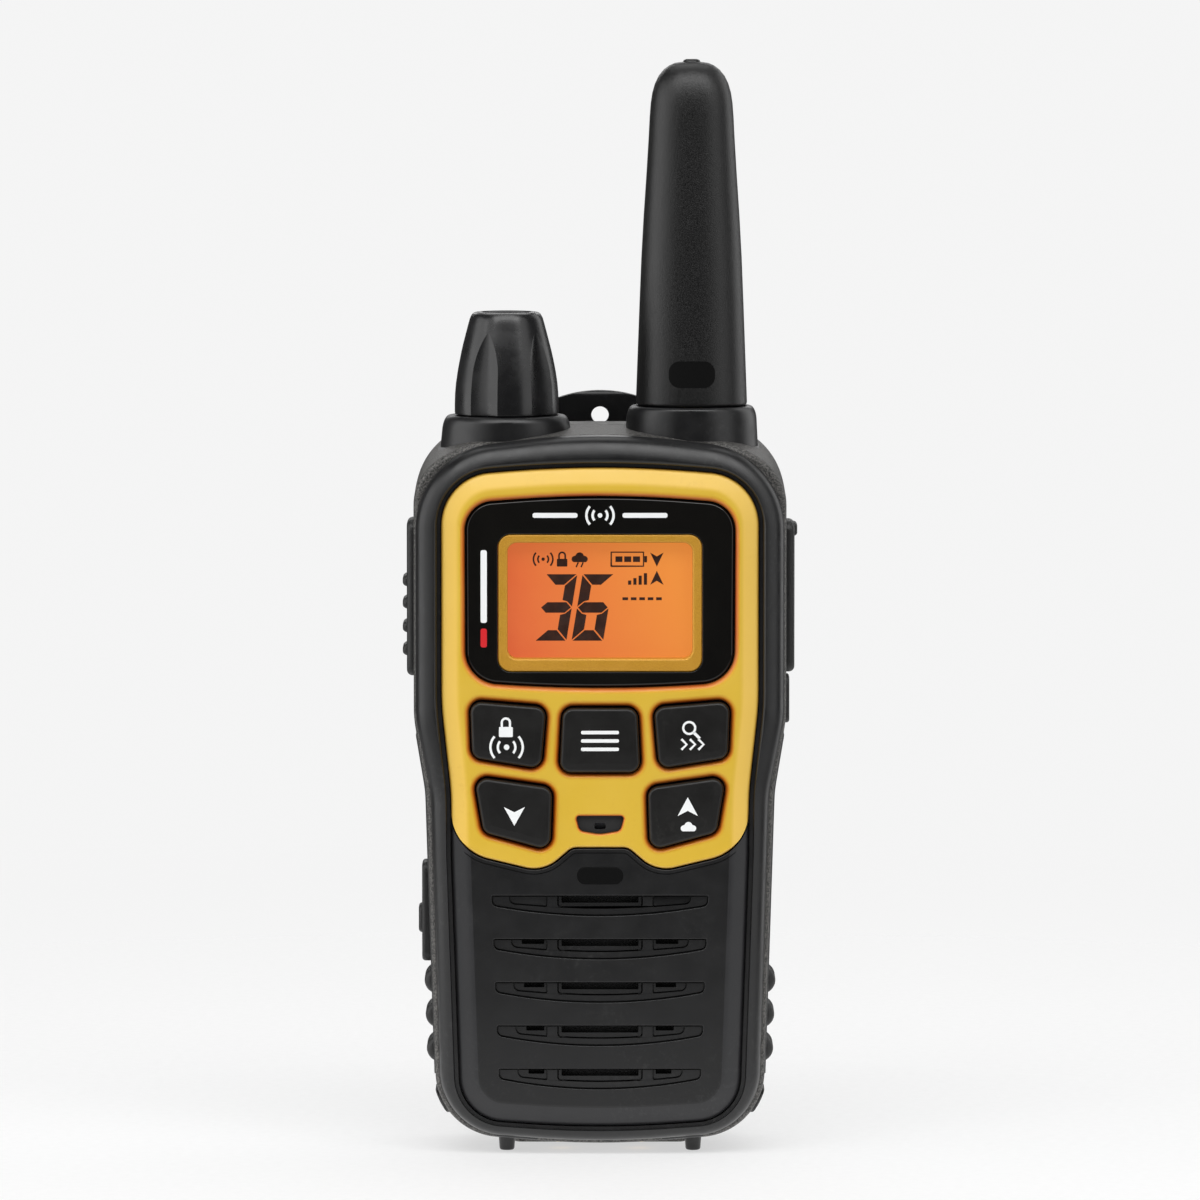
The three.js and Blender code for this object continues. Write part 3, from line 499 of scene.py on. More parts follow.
CONTACT_BRASS = metal("contact_brass", tone(214, 178, 104), 0.28)
COIL_COPPER = metal("coil_copper", tone(196, 126, 74), 0.32)


def facing(shader, start, end):
    """0 to 1 as the surface turns from one to another Y of its own normal; -1 looks to the front."""
    normal = shader.node("ShaderNodeSeparateXYZ", {
        "Vector": shader.node("ShaderNodeTexCoord").outputs["Normal"]}).outputs["Y"]
    return shader.spread(normal, 0, 1, start, end)


def finish_yellow(shader, base):
    base = shader.mix(shader.spread(shader.noise(11, 3), 0, 0.1), base, tone(238, 204, 104))
    base = shader.worn(base, tone(196, 146, 50), 0.25)
    return shader.finished(base, shader.spread(shader.noise(4, 5, 0.6), 0.36, 0.46),
                           (shader.noise(1.4, 3), 0.002), (shader.noise(0.14), 0.0025))


def yellow_plastic():
    """Golden plastic with a painted highlight on its sloping border and painted burnt-orange shade where it
    turns away.
    """
    shader = Shader("yellow_trim")
    # Painted highlight: faces on the sloping border get a paler yellow, as if they caught more light.
    painted_slope_highlight = shader.mix(facing(shader, -0.99, -0.95), tone(211, 173, 50), tone(228, 187, 80))
    # Painted shade: faces that turn away from the front darken to burnt orange.
    return finish_yellow(shader, shader.mix(facing(shader, -0.85, -0.2), painted_slope_highlight, tone(150, 96, 14)))


def yellow_rim_painted_shade():
    """The same plastic in the rolled rims of its holes, with painted shade that deepens it to burnt orange
    and brown as the rim turns away.
    """
    shader = Shader("yellow_rim_painted_shade")
    # Painted shade: the colour runs from yellow to dark brown as the rim's normal turns away from the front.
    ramp = shader.node("ShaderNodeValToRGB", {"Fac": facing(shader, -1, 0)})
    stops = ramp.color_ramp.elements
    stops[0].position, stops[0].color = 0.0, tone(211, 173, 50)
    stops[1].position, stops[1].color = 1.0, tone(44, 14, 2)
    for place, colour in ((0.04, tone(212, 154, 14)), (0.16, tone(208, 112, 4)), (0.42, tone(166, 66, 2)),
                          (0.72, tone(92, 32, 2))):
        stops.new(place).color = colour
    return finish_yellow(shader, ramp.outputs["Color"])


def lens_black():
    """Polished plastic over black print, with faint smears."""
    shader = Shader("lens_black")
    smears = shader.noise(7, 6, 0.65)
    base = shader.mix(shader.spread(smears, 0, 1), tone(11, 10, 9), tone(15, 14, 12))
    return shader.finished(base, shader.spread(smears, 0.05, 0.11), (shader.noise(14, 2), 0.002), IOR=1.45)


def display_gold():
    """Gold paint with fine flakes."""
    shader = Shader("display_gold")
    flakes = shader.cells(0.12)
    base = shader.mix(shader.spread(flakes, 0, 1, 0.1, 0.6), tone(216, 166, 58), tone(192, 138, 40))
    return shader.finished(base, shader.spread(shader.noise(2), 0.36, 0.46), (flakes, 0.003), Metallic=0.25)


def display_orange():
    """Lit display: redder at the lower left, with the faint grid of its dots."""
    shader = Shader("display_orange")
    parts = shader.node("ShaderNodeSeparateXYZ", {"Vector": shader.place})
    low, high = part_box("lcd_panel")
    across = shader.spread(parts.outputs["X"], 0, 1, low.x, high.x)
    lift = shader.spread(parts.outputs["Z"], 0, 0.22, low.z, high.z)
    glow = shader.mix(shader.maths("ADD", across, lift), tone(218, 94, 60), tone(234, 142, 62))
    glow = shader.mix(shader.spread(shader.noise(6, 3), 0, 0.08), glow, tone(238, 150, 80))
    return shader.finished(shader.mix(0.7, glow, tone(0, 0, 0)), 0.2, (shader.cells(0.28), 0.001),
                           Emission_Color=glow, Emission_Strength=0.74)


def display_ink():
    shader = Shader("display_ink")
    base = shader.mix(shader.spread(shader.noise(1.2), 0, 1), tone(44, 25, 18), tone(54, 30, 20))
    return shader.finished(base, shader.spread(shader.noise(2), 0.3, 0.4))


def speaker_cloth():
    """Fine woven cloth behind the grille."""
    shader = Shader("speaker_cloth")
    parts = shader.node("ShaderNodeSeparateXYZ", {"Vector": shader.place})
    pitch = 0.42 * MM
    turns = [shader.maths("MULTIPLY", parts.outputs[axis], math.tau / pitch) for axis in "XZ"]
    weave = shader.maths("MULTIPLY", *[shader.maths("SINE", turn) for turn in turns])
    base = shader.mix(shader.spread(weave, 0, 1, -1, 1), tone(10, 10, 10), tone(26, 26, 26))
    return shader.finished(base, shader.spread(weave, 0.7, 0.9, -1, 1), (weave, 0.05))


def board_green():
    """Solder mask over a grid of tracks."""
    shader = Shader("board_green")
    tracks = shader.node("ShaderNodeTexBrick", {
        "Vector": shader.place, "Scale": 300.0, "Color1": tone(20, 92, 56), "Color2": tone(16, 76, 46),
        "Mortar": tone(48, 124, 74), "Mortar Size": 0.012})
    return shader.finished(tracks.outputs["Color"], shader.spread(shader.noise(1), 0.3, 0.45),
                           (tracks.outputs["Fac"], 0.02))


def cell_jacket():
    """Plain blue battery jacket, a little scuffed."""
    shader = Shader("cell_jacket")
    scuffs = shader.noise(1.8, 5)
    base = shader.mix(shader.spread(scuffs, 0, 0.5), tone(44, 96, 168), tone(36, 80, 146))
    return shader.finished(base, shader.spread(scuffs, 0.22, 0.36), (shader.noise(5, 2), 0.01), Metallic=0.35)


YELLOW = yellow_plastic()
YELLOW_RIM_PAINTED_SHADE = yellow_rim_painted_shade()
LENS_BLACK = lens_black()
GOLD = display_gold()
LCD_ORANGE = display_orange()
LCD_INK = display_ink()
SPEAKER_CLOTH = speaker_cloth()
BOARD_GREEN = board_green()
CELL_JACKET = cell_jacket()
BADGE_BLACK = plastic("badge_black", tone(3, 3, 3), 0.65, 0.2, 0.003, 0.1, None, 0.12)
CONE_PAPER = plastic("cone_paper", tone(38, 38, 41), 0.9, 0.5, 0.05, 0.2)


# ---- Outlines of the case ----

SIDE_FOOT, SIDE_WAIST, SHOULDER_X = (23.3, 2.9), (24.85, 52), 26.6
BODY = rounded(mirrored([
    (0, 1.0, 110), (*SIDE_FOOT, 9.5), (*SIDE_WAIST, 18), (SHOULDER_X, 62.5, 18), (SHOULDER_X, 103.4, 10.5),
    (0, 104.1, 500)]))
FRAME = rounded(mirrored([
    (0, 1.5, 120), (22.7, 3.3, 9.5), (24.15, 52, 18), (26.3, 62.5, 18), (26.3, 100.5, 12.4),
    (0, 103.63, 88)]))
INSERT = rounded(mirrored([
    (0, 3.8, 150), (19.9, 5.2, 6.5), (21.2, 43), (21.25, 52, 40), (22.6, 64.5, 40), (22.6, 97.2, 7.5),
    (0, 99.1, 160)]))
BEZEL_FOOT = [(4.0, 44.3, 2), (8.1, 40.8, 5.2), (21.15, 43.95, 7)]
BEZEL_SIDE = [(21.25, 52, 40), (22.6, 64.5, 40), (22.6, 97.2, 7.5)]
BEZEL = rounded(BEZEL_FOOT + BEZEL_SIDE + [(0, 99.1, 160)] + turned_over(BEZEL_FOOT + BEZEL_SIDE))
LENS = rounded(mirrored([(0, 66.8, 200), (19.0, 68.1, 4.6), (19.1, 93.3, 4), (0, 94.8, 160)]))
LCD_FRAME = rectangle((-14.6, 14.6), (69.35, 89.1), 1.9)
LCD_WINDOW = rectangle((-13.15, 13.15), (71.3, 87.8), 1.3)
DOOR = rounded(mirrored([(0, 5.6), (17.6, 6, 5), (18.4, 55.5, 2.5), (0, 55.5)]))

PTT = rectangle((-13.2, -5.2), (68.4, 90.8), 1.5)
JACK_COVER = rectangle((-12.6, -5.4), (68.9, 90.6), 1.5)
JACK_ANCHOR = rectangle((-11.4, -6.6), (61.5, 68.4), 1.2)
JACKS = [(76, 1.9), (86, 1.4)]
JACK_Y = -9
USB_COVER = rectangle((-11.3, -5.2), (27.2, 41.5), 1.2)
USB_SLOT = rectangle((-9.3, -6.3), (29.9, 38.9), 1.3)
FIT = 0.12                     # visible gap round a piece that is set into the case

GRIP_Z, GRIP_PROUD = (11.2, 60), 0.15
BUMPER_Z, BUMPER_PROUD = (5.6, 8.9), 0.4
GRIP_RIBS, RIB_RADIUS, RIB_PROUD = (24.65, 19.75, 14.85), 2.0, 1.15
INLAY_Y = (-14, -5)
INLAY_DEPTH = 0.9


def inside(outline, x, y):
    """Whether a point lies within an outline."""
    crossings = 0
    for a, b in zip(outline, outline[1:] + outline[:1]):
        if (a.y > y) != (b.y > y) and x < a.x + (b.x - a.x) * (y - a.y) / (b.y - a.y):
            crossings += 1
    return crossings % 2 == 1


def side_x(z):
    """Half the width of the case below its waist."""
    return SIDE_FOOT[0] + (SIDE_WAIST[0] - SIDE_FOOT[0]) * (z - SIDE_FOOT[1]) / (SIDE_WAIST[1] - SIDE_FOOT[1])


# ---- Case ----

COLLARS = [                     # axis, top, how far the flank leans in
    (KNOB_AXIS, KNOB_SEAT_Z, 0.6), (ANTENNA_AXIS, ANTENNA_SEAT_Z, 0.35)]
COLLAR_HALF, COLLAR_FOOT_Z = 9.6, 99.5      # half the width at the foot of the leaning flank


def collars():
    """Oval collars with rounded shoulders under the knob and the antenna."""
    made = []
    for (x, y), seat, lean in COLLARS:
        shoulder = [(seat - a, COLLAR_HALF - lean * (seat - a - COLLAR_FOOT_Z) / (seat - COLLAR_FOOT_Z) - b)
                    for a, b in edge(0, 2.0, 0.85, 12)][::-1]
        rings = []
        for height, half in [(94, COLLAR_HALF), (COLLAR_FOOT_Z, COLLAR_HALF), *shoulder]:
            depth = min(half + 0.15, COLLAR_HALF - 0.55) * 0.9
            rings.append([(x + p.x * half, y + p.y * depth, height) for p in circle((0, 0), 1, 96)])
        made.append(skin("collar", "z", rings))
    return made


def on_collar(place, normal):
    """Whether a face belongs to a collar or a peg; the top of the case beside a collar doesn't."""
    oval, above_case_z = (9.63, 8.17), 104.6
    if place.z > 100 and (normal.z < 0.9 or place.z > above_case_z):
        for x in (-13.5, ANTENNA_AXIS[0]):
            if ((place.x - x) / oval[0]) ** 2 + ((place.y + 6) / oval[1]) ** 2 < 1:
                return True
    return place.z < 3 and place.y < -9 and 11 < abs(place.x) < 15


def collar_bores():
    return [rod("bore", "z", KNOB_AXIS, 3.35, 98, 110), rod("bore", "z", ANTENNA_AXIS, 2.55, 98, 110)]


def inlay_space(side, heights, margin):
    """The room that a soft inlay takes up in the side of the case."""
    outline = rectangle((INLAY_Y[0] - margin, INLAY_Y[1] + margin),
                        (heights[0] - margin, heights[1] + margin), 1.6)
    return prism("space", "x", outline, *span(side, 14, 30))


def case_core(depth):
    return prism("core", "y", inset(BODY, depth), -17, -3)


def inlay_recesses():
    spaces = [inlay_space(side, heights, FIT) for side in (-1, 1) for heights in (GRIP_Z, BUMPER_Z)]
    return cut(join(*spaces), case_core(INLAY_DEPTH + 0.1))


FRAME_ROLL = [(-18.0, 4), (-18.0, 3.0), (-17.97, 2.75), (-17.89, 2.4), (-17.72, 1.9), (-17.5, 1.4),
              (-17.24, 0.98), (-16.95, 0.66), (-16.6, 0.4), (-16.15, 0.2), (-15.6, 0.07), (-14.9, 0)]
FALL_Z, FALL_HEIGHT = 88, 14                # where the top starts to fall away, and how soon in full
FALL_MIDDLE, FALL_MORE = 0.85, 0.9          # at the middle, and the most that is added beside it


def sloping_side(levels):
    """The skin of the case behind the frame. Its top falls away towards the front, most beside the middle."""
    rings = []
    for y, distance in reversed(levels):
        share = (PARTING_Y - y) / (PARTING_Y - STEP_Y)
        ring = []
        for p in inset(BODY, distance):
            rise = min(1, max(0, (p.y - FALL_Z) / FALL_HEIGHT))
            fall = (FALL_MIDDLE + min(FALL_MORE, p.x ** 2 / 210)) * share * rise ** 2
            ring.append((p.x, p.y - fall, -y))
        rings.append(ring)
    return skin("side", "y", rings)


def screw_rods(radius, start, end, sides=24):
    return [rod("screw", "y", place, radius, start, end, sides) for place in SCREW_PLACES]


def grooves(half, heights, height, radius, start, end):
    """Level bars one above the other, which cut grooves into a face that looks to the back."""
    return [prism("groove", "y", rectangle((-half, half), (z, z + height), radius), start, end)
            for z in heights]


def front_case():
    """The front shell: frame, sloping side, its half of the collars, pegs and all its openings."""
    back = PARTING_Y - HAIRLINE
    shell = layered("front_case", "y", FRAME, FRAME_ROLL + [(STEP_Y + 0.1, 0)])
    side = sloping_side(edge(STEP_Y - 0.55, 0.9, 0.7, 8) + [(-12, 0), (-10, 0), (-8, 0), (-6, 0)]
                        + edge(back, -0.15, 0.15, 3))
    front_room = block("room", (-40, 40), (-20, back), (90, 120))
    tops = common(join(*collars()), front_room)
    peg = [(0, 0), *[(1.08 - r, h) for h, r in edge(0, 0.35, 0.35, 5)], (1.25, 2.6), (1.25, 3.4), (0, 3.4)]
    pegs = [lathe("peg", "z", (x, -11), peg, 40) for x in (-PEG_X, PEG_X)]
    shell = join(shell, side, tops, *pegs)
    shell = cut(
        shell,
        prism("cavity", "y", inset(BODY, WALL), FRONT_INNER_Y, back + 1),
        layered("pocket", "y", grown(INSERT, 0.12), [
            (FRAME_Y - 3, -1.1), *[(y, d - 0.5) for y, d in edge(FRAME_Y, 0.6, -0.6)], (-16.75, -0.5),
            (-16.7, 0), (POCKET_Y, 0)]))
    shell = join(shell, *screw_rods(2.6, FRONT_INNER_Y - 0.1, back - 0.2, 32))
    return cut(
        shell,
        prism("display", "y", rectangle((-15.6, 15.6), (69, 90.2), 1), -17, -13),
        *[rod("stem", "y", p, 1.9, -17, -13, 24) for p in key_middles()],
        rod("sound", "y", (0, MICROPHONE_Z), 0.9, -17, -13, 24),
        rod("speaker", "y", (0, SPEAKER_Z), 12.4, -17, -13, 64),
        *screw_rods(1.4, -12.5, 0),
        *[rod("contact", "z", (x, CHARGE_Y), 1.8, -1, 5, 32) for x in (-CHARGE_X, CHARGE_X)],
        *collar_bores(),
        prism("ptt", "x", grown(PTT, FIT), -30, -22),
        prism("jack", "x", grown(JACK_COVER, FIT), 25.9, 30),
        prism("anchor", "x", grown(JACK_ANCHOR, FIT), 25.8, 30),
        *[rod("jack", "x", (JACK_Y, z), r, 24, 27, 32) for z, r in JACKS],
        prism("usb", "x", grown(USB_COVER, FIT), -30, -23.9),
        prism("usb", "x", USB_SLOT, -30, -21),
        inlay_recesses())


def clip_rails():
    """Two rails whose lips hold the clip's bracket, with a stop below them."""
    made = []
    for side in (-1, 1):
        made.append(layered("rail", "z", rectangle(span(side, 9.3, 11), (BACK_Y - 0.2, 11.1), 0.45),
                            edge(84, 0.3, 0.3, 3) + edge(98.5, -0.4, 0.4, 4)))
        made.append(layered("lip", "z", rectangle(span(side, 7.5, 10.95), (10.2, 11.12), 0.44),
                            edge(83.9, 0.3, 0.3, 3) + edge(98.45, -0.4, 0.4, 4)))
    made.append(layered("stop", "y", rectangle((-11, 11), (82.2, 84.1), 0.5),
                        [(BACK_Y - 0.2, 0)] + edge(10, -0.4, 0.4, 4)))
    return made


def rear_case():
    """The rear shell with its half of the collars, its foot, the battery bay and the clip's rails."""
    front = PARTING_Y + HAIRLINE
    roll = edge(BACK_Y, -5.2, 4.2, 14)
    shell = layered("rear_case", "y", BODY, edge(front, 0.15, 0.15, 3) + roll)
    rear_room = block("room", (-40, 40), (front, 20), (90, 120))
    tops = common(join(*collars()), rear_room)
    foot = layered("foot", "z", rectangle((-12.5, 12.5), (-3, 6.5), 1.2), edge(0, 0.4, 0.4, 4) + [(4, 0)])
    shell = join(shell, tops, foot, *clip_rails())
    shell = cut(shell, layered("cavity", "y", BODY, [
        (front - 1, WALL), (3.5, WALL), (5.4, WALL + 0.8), (BACK_INNER_Y, WALL + 2.2)]))
    tub = prism("tub", "y", rectangle((-19.8, 19.8), (6, 58.4), 3), -5.6, BACK_INNER_Y + 0.2)
    shell = join(shell, tub, *screw_rods(2.8, front, BACK_INNER_Y + 0.1, 32))
    door_room = [(6.2, 0), (BACK_Y - 0.2, 0), (BACK_Y, -0.2), (9, -0.2)]
    head_room = [(6, 0), (BACK_Y - 0.25, 0), (BACK_Y, -0.25), (9, -0.25)]
    return cut(
        shell,
        prism("bay", "y", rectangle((-BAY_X, BAY_X), BAY_Z, 0.6), -4.7, 9),
        layered("door", "y", grown(DOOR, FIT + 0.05), door_room),
        block("notch", (-4.4, 4.4), (4.9, BACK_INNER_Y + 0.05), (3.9, BAY_Z[0] + 0.1)),
        *screw_rods(1.5, -5, 9),
        *[layered("head", "y", circle(place, 2.5), head_room) for place in SCREW_PLACES],
        *grooves(14.5, (59.4, 61.1, 62.8), 0.7, 0.3, 7.9, 9),
        *collar_bores())


def inlay(side, heights, proud):
    """A soft inlay: the skin of the case between two heights on one side."""
    front, back = INLAY_Y
    outside = layered("inlay", "y", grown(BODY, proud), edge(front, 0.5, 0.5, 5) + edge(back, -0.5, 0.5, 5))
    return cut(common(outside, inlay_space(side, heights, 0)), case_core(INLAY_DEPTH))


def grip(side):
    """A side grip with three rounded ribs near its foot."""
    levels = edge(-13.2, 0.9, 0.9) + edge(-5.8, -0.9, 0.9)
    base = inlay(side, GRIP_Z, GRIP_PROUD)
    ribs = [layered("rib", "y", circle((side * (side_x(z) + RIB_PROUD - RIB_RADIUS), z), RIB_RADIUS), levels)
            for z in GRIP_RIBS]
    return join(base, cut(join(*ribs), case_core(INLAY_DEPTH)))


# ---- Keys ----

CALL = [(-18.2, 57.2), (-8.4, 55.6), (-7.65, 64.4), (-18.5, 65.3)]
DOWN = [(-16.6, 46.5), (-7.1, 43.9), (-6.8, 52.9), (-17.95, 54.5)]
KEYS = {
    "key_call": CALL,
    "key_menu": [(-5.75, 55.1), (5.75, 55.1), (5.3, 64.3), (-5.3, 64.3)],
    "key_scan": turned_over(CALL),
    "key_down": DOWN,
    "key_up": turned_over(DOWN),
}
KEY_TOP_Y = -18.97
LENS_Y = -17.75
LCD_FRAME_Y = -17.6
LCD_Y = -15.6


def key_outline(corners):
    return rounded([(x, z, 1.55) for x, z in corners])


def key_middles():
    return [tuple(sum(c[a] for c in corners) / len(corners) for a in (0, 1)) for corners in KEYS.values()]


def key_cap(corners, middle):
    levels = edge(KEY_TOP_Y + 0.06, 0.55, 0.5, 8) + [(-16.3, 0)]
    cap = layered("cap", "y", key_outline(corners), [(KEY_TOP_Y, 1.3)] + levels)
    return join(cap, rod("stem", "y", middle, 1.6, -16.4, -12.2, 24))


def padlock(x, z, size):
    """A closed padlock, size high, standing on z."""
    body = rectangle((x - size * 0.34, x + size * 0.34), (z, z + size * 0.5), size * 0.05)
    shackle = ribbon([(x - size * 0.2, z + size * 0.5)] + arc((x, z + size * 0.72), size * 0.2, 180, 0)
                     + [(x + size * 0.2, z + size * 0.5)], size * 0.11)
    return [body, shackle]


def waves(x, z, reach, width=0.32):
    """A dot that sends out arcs to both sides."""
    shapes = [circle((x, z), reach * 0.16, 20)]
    for radius in (reach * 0.5, reach * 0.92):
        for start in (-42, 138):
            shapes.append(ribbon(arc((x, z), radius, start, start + 84), width))
    return shapes


def cloud(x, z, size):
    """A cloud of three round heaps on a flat base."""
    top = (arc((x - size * 0.3, z + size * 0.2), size * 0.2, 250, 100)
           + arc((x, z + size * 0.36), size * 0.26, 165, 15)
           + arc((x + size * 0.3, z + size * 0.2), size * 0.2, 80, -70))
    return [top]


def dart(x, z, width, height):
    """An arrowhead with a notched base; a negative height points down."""
    return [[(x - width / 2, z), (x, z + height * 0.28), (x + width / 2, z), (x, z + height)]]


def key_marks():
    bars = [rectangle((-2.7, 2.7), (z, z + 0.5), 0.2) for z in (58.2, 59.4, 60.6)]
    lens_x, lens_z = 12.7, 61.5
    magnifier = [ribbon(arc((lens_x, lens_z), 0.85, 0, 360, 28), 0.32),
                 ribbon([(lens_x + 0.66, lens_z - 0.66), (lens_x + 1.5, lens_z - 1.5)], 0.42)]
    chevrons = [ribbon([(x, 59.9), (x + 0.75, 59.15), (x, 58.4)], 0.34) for x in (11.6, 12.8, 14.0)]
    return {
        "key_call": padlock(-13.4, 60.2, 2.9) + waves(-13.3, 58.75, 2.5, 0.34),
        "key_menu": bars,
        "key_scan": magnifier + chevrons,
        "key_down": dart(-12.2, 50.2, 3.0, -2.7),
        "key_up": dart(12.5, 48.9, 2.9, 2.7) + cloud(12.6, 46.7, 2.2),
    }


def add_keys():
    printed = key_marks()
    for (name, corners), middle in zip(KEYS.items(), key_middles()):
        piece(key_cap(corners, middle), name + "_cap", KEY_RUBBER, name, [name])
        piece(marks(name, printed[name], KEY_TOP_Y + 0.005, 0.025), name + "_print", PRINT_WHITE,
              name)


# ---- Front ----

def insert_levels(front, back):
    """A raised field whose edge slopes away over a broad band and then turns down."""
    slope = [(0.015, 2.75), (0.06, 2.45), (0.14, 2.15), (0.26, 1.8), (0.42, 1.4), (0.6, 0.95), (0.75, 0.6),
             (0.89, 0.3), (1.1, 0.1), (1.4, 0)]
    return [(front, 5), (front, 3.0), *[(front + fall, distance) for fall, distance in slope], (back, 0)]


INLET = rounded(mirrored([(0, 46.2, 5), (2.9, 46.7, 0.9), (3.45, 48.8, 0.4), (0, 48.8)]))
RIM = 0.9                      # width of the rolled rims in the bezel's holes


def bezel_holes():
    """The outline round the rim of each hole, and its middle."""
    holes = [grown(o, RIM + 0.25) for o in [LENS, INLET] + [key_outline(c) for c in KEYS.values()]]
    return [(hole, sum(hole, Vector((0, 0))) / len(hole)) for hole in holes]


def in_rim(place, normal, holes):
    """Whether a face turns towards the hole that it lies beside."""
    if normal.y < -0.9999:
        return False
    return any(inside(hole, place.x, place.z)
               and (middle - Vector((place.x, place.z))).dot(Vector((normal.x, normal.z))) > 0
               for hole, middle in holes)


def bezel():
    """The yellow bezel follows the insert's sloping band, and has its own round lower edge."""
    band = layered("bezel", "y", INSERT, insert_levels(BEZEL_Y, POCKET_Y - 0.1))
    own = layered("own", "y", BEZEL, edge(BEZEL_Y - 0.03, 0.6, 0.45, 8) + [(POCKET_Y, 0)])
    return cut(
        common(band, own),
        layered("lens", "y", grown(LENS, 0.15), mouth(BEZEL_Y, POCKET_Y + 1, RIM)),
        *[layered("key", "y", grown(key_outline(c), 0.2), mouth(BEZEL_Y, POCKET_Y + 1, RIM))
          for c in KEYS.values()],
        layered("inlet", "y", INLET, mouth(BEZEL_Y, POCKET_Y + 1, 0.4)))


def sound_inlet():
    plug = layered("inlet", "y", inset(INLET, 0.04), [(BEZEL_Y + 0.75, 0), (POCKET_Y - 0.2, 0)])
    return cut(plug, prism("hole", "y", rectangle((-0.8, 0.8), (46.85, 47.75), 0.25), -20, -15))


LOUVRES, LOUVRE_TOP, LOUVRE_STEP = 5, 37.4, 6.22
SLOT_Y = (-20, -15.5)
CLOTH_Y = -15.9                # front of the room for the cloth behind the slots


def bow(half, top, end, middle, radius):
    """A louvre's outline: straight on top and bowed below, deepest in the middle."""
    sag = middle - end
    arc_radius = 0.93 * half ** 2 / (2 * sag)
    return rounded(mirrored([
        (0, top - end - 2 * sag, arc_radius), (half, top - end, radius), (half, top, 0.2), (0, top)]))


def line_along(outline, front, bottom, width=0.17):
    """A thin line sunk just inside an outline."""
    ring = prism("line", "y", inset(outline, 0.02), front, bottom)
    return cut(ring, prism("land", "y", inset(outline, 0.02 + width), front - 1, bottom + 1))


def grille():
    """Five bowed louvres. Each is a shallow recess with a pocket in the middle and one at each side."""
    front = BEZEL_Y + 0.25
    plate = layered("grille", "y", INSERT, insert_levels(front, POCKET_Y - 0.1))
    lip = grown(BEZEL, 0.75)
    cutters = [layered("bezel", "y", grown(BEZEL, 0.2), mouth(front, POCKET_Y + 1, 0.15)),
               line_along(grown(lip, 0.13), front - 1, front + 0.25, 0.13),
               prism("cloth", "y", rectangle((-13.5, 13.5), (10.5, 38.2), 1), CLOTH_Y, POCKET_Y + 1)]
    for row in range(LOUVRES):
        top = LOUVRE_TOP - LOUVRE_STEP * row
        field = bow(15.45 - 0.25 * row, top, 1.5, 2.85, 0.9)
        centre = bow(6.1, top - 0.04, 1.71, 1.91, 0.5)
        cutters.append(layered("louvre", "y", field, mouth(front, front + 0.5, 0.12)))
        cutters.append(line_along(field, front, front + 1.1))
        cutters.append(prism("centre", "y", centre, front - 1, front + 0.85))
        cutters.append(line_along(centre, front, front + 1.4))
        cutters.append(prism("slot", "y", rectangle((-5.5, 5.5), (top - 1.1, top - 0.09), 0.12), *SLOT_Y))
        for side in (-1, 1):
            outer = side * (13.0 - 0.3 * row)
            inner = side * 7.5
            pocket = rounded([(inner, top - 1.72, 0.3), (outer, top - 1.3, 0.95), (outer, top - 0.05, 0.25),
                              (inner, top - 0.05, 0.25)][::side])
            cutters.append(prism("pocket", "y", pocket, front - 1, front + 0.8))
            cutters.append(line_along(pocket, front, front + 1.3))
            if row:
                ends = span(side, 7.95, 11.5 - 0.32 * row)
                cutters.append(prism("slot", "y", rectangle(ends, (top - 0.8, top - 0.1), 0.12), *SLOT_Y))
    return cut(plate, *cutters)


def digit(x, z, lit, width=4.5, height=9.5, thick=1.5, slant=0.165, gap=0.13):
    """A seven-segment digit, leaning right. lit names its dark segments."""
    half, tip, bevelled = height / 2, thick * 0.6, width - thick * 0.55
    shapes = {
        "top": [(gap, height), (width - gap, height), (width - thick - gap, height - thick),
                (thick + gap, height - thick)],
        "bottom": [(thick + gap, thick), (width - thick - gap, thick), (width - gap, 0), (gap, 0)],
        "middle": [(gap, half), (tip, half + thick / 2), (width - tip, half + thick / 2),
                   (width - gap, half), (width - tip, half - thick / 2), (tip, half - thick / 2)],
        "right_top": [(width, height - gap), (width, half + gap), (bevelled, half + gap + thick * 0.5),
                      (width - thick, half + thick * 0.62 + gap), (width - thick, height - thick - gap)],
        "right_low": [(width, gap), (width, half - gap), (bevelled, half - gap - thick * 0.5),
                      (width - thick, half - thick * 0.62 - gap), (width - thick, thick + gap)],
    }
    for name in ("right_top", "right_low"):
        shapes[name.replace("right", "left")] = [(width - u, v) for u, v in shapes[name]]
    return [[(x + u + slant * v, z + v) for u, v in shapes[name]] for name in lit]


def display_marks():
    ink = digit(-9.3, 73.7, ("top", "middle", "bottom", "right_top", "right_low"))
    ink += digit(-4.05, 73.7, ("top", "middle", "bottom", "left_top", "left_low", "right_low"))
    ink += waves(-8.1, 85.35, 1.5, 0.24)
    ink += padlock(-5.4, 84.3, 2.2)
    ink += cloud(-2.9, 84.9, 2.3)
    ink += [ribbon([(-3.1 + step, 84.9), (-3.4 + step, 84.2)], 0.2) for step in (0, 0.7)]
    battery = [(1.6, 84.35), (6.2, 84.35), (6.2, 86.35), (1.6, 86.35), (1.6, 84.3)]
    ink.append(ribbon(battery, 0.24))
    ink.append(rectangle((6.3, 6.7), (84.9, 85.8)))
    ink += [rectangle((x, x + 1.0), (84.95, 85.75)) for x in (2.2, 3.45, 4.7)]
    ink += dart(8.1, 86.3, 1.9, -2.0)
    ink += dart(8.1, 81.7, 1.9, 2.0)
    ink += [rectangle((4.0 + 0.75 * k, 4.45 + 0.75 * k), (81.7, 82.3 + 0.35 * k)) for k in range(4)]
    ink += [rectangle((3.2 + 1.2 * k, 4.0 + 1.2 * k), (79.5, 79.9)) for k in range(5)]
    return marks("display_marks", ink, LCD_Y - 0.02)


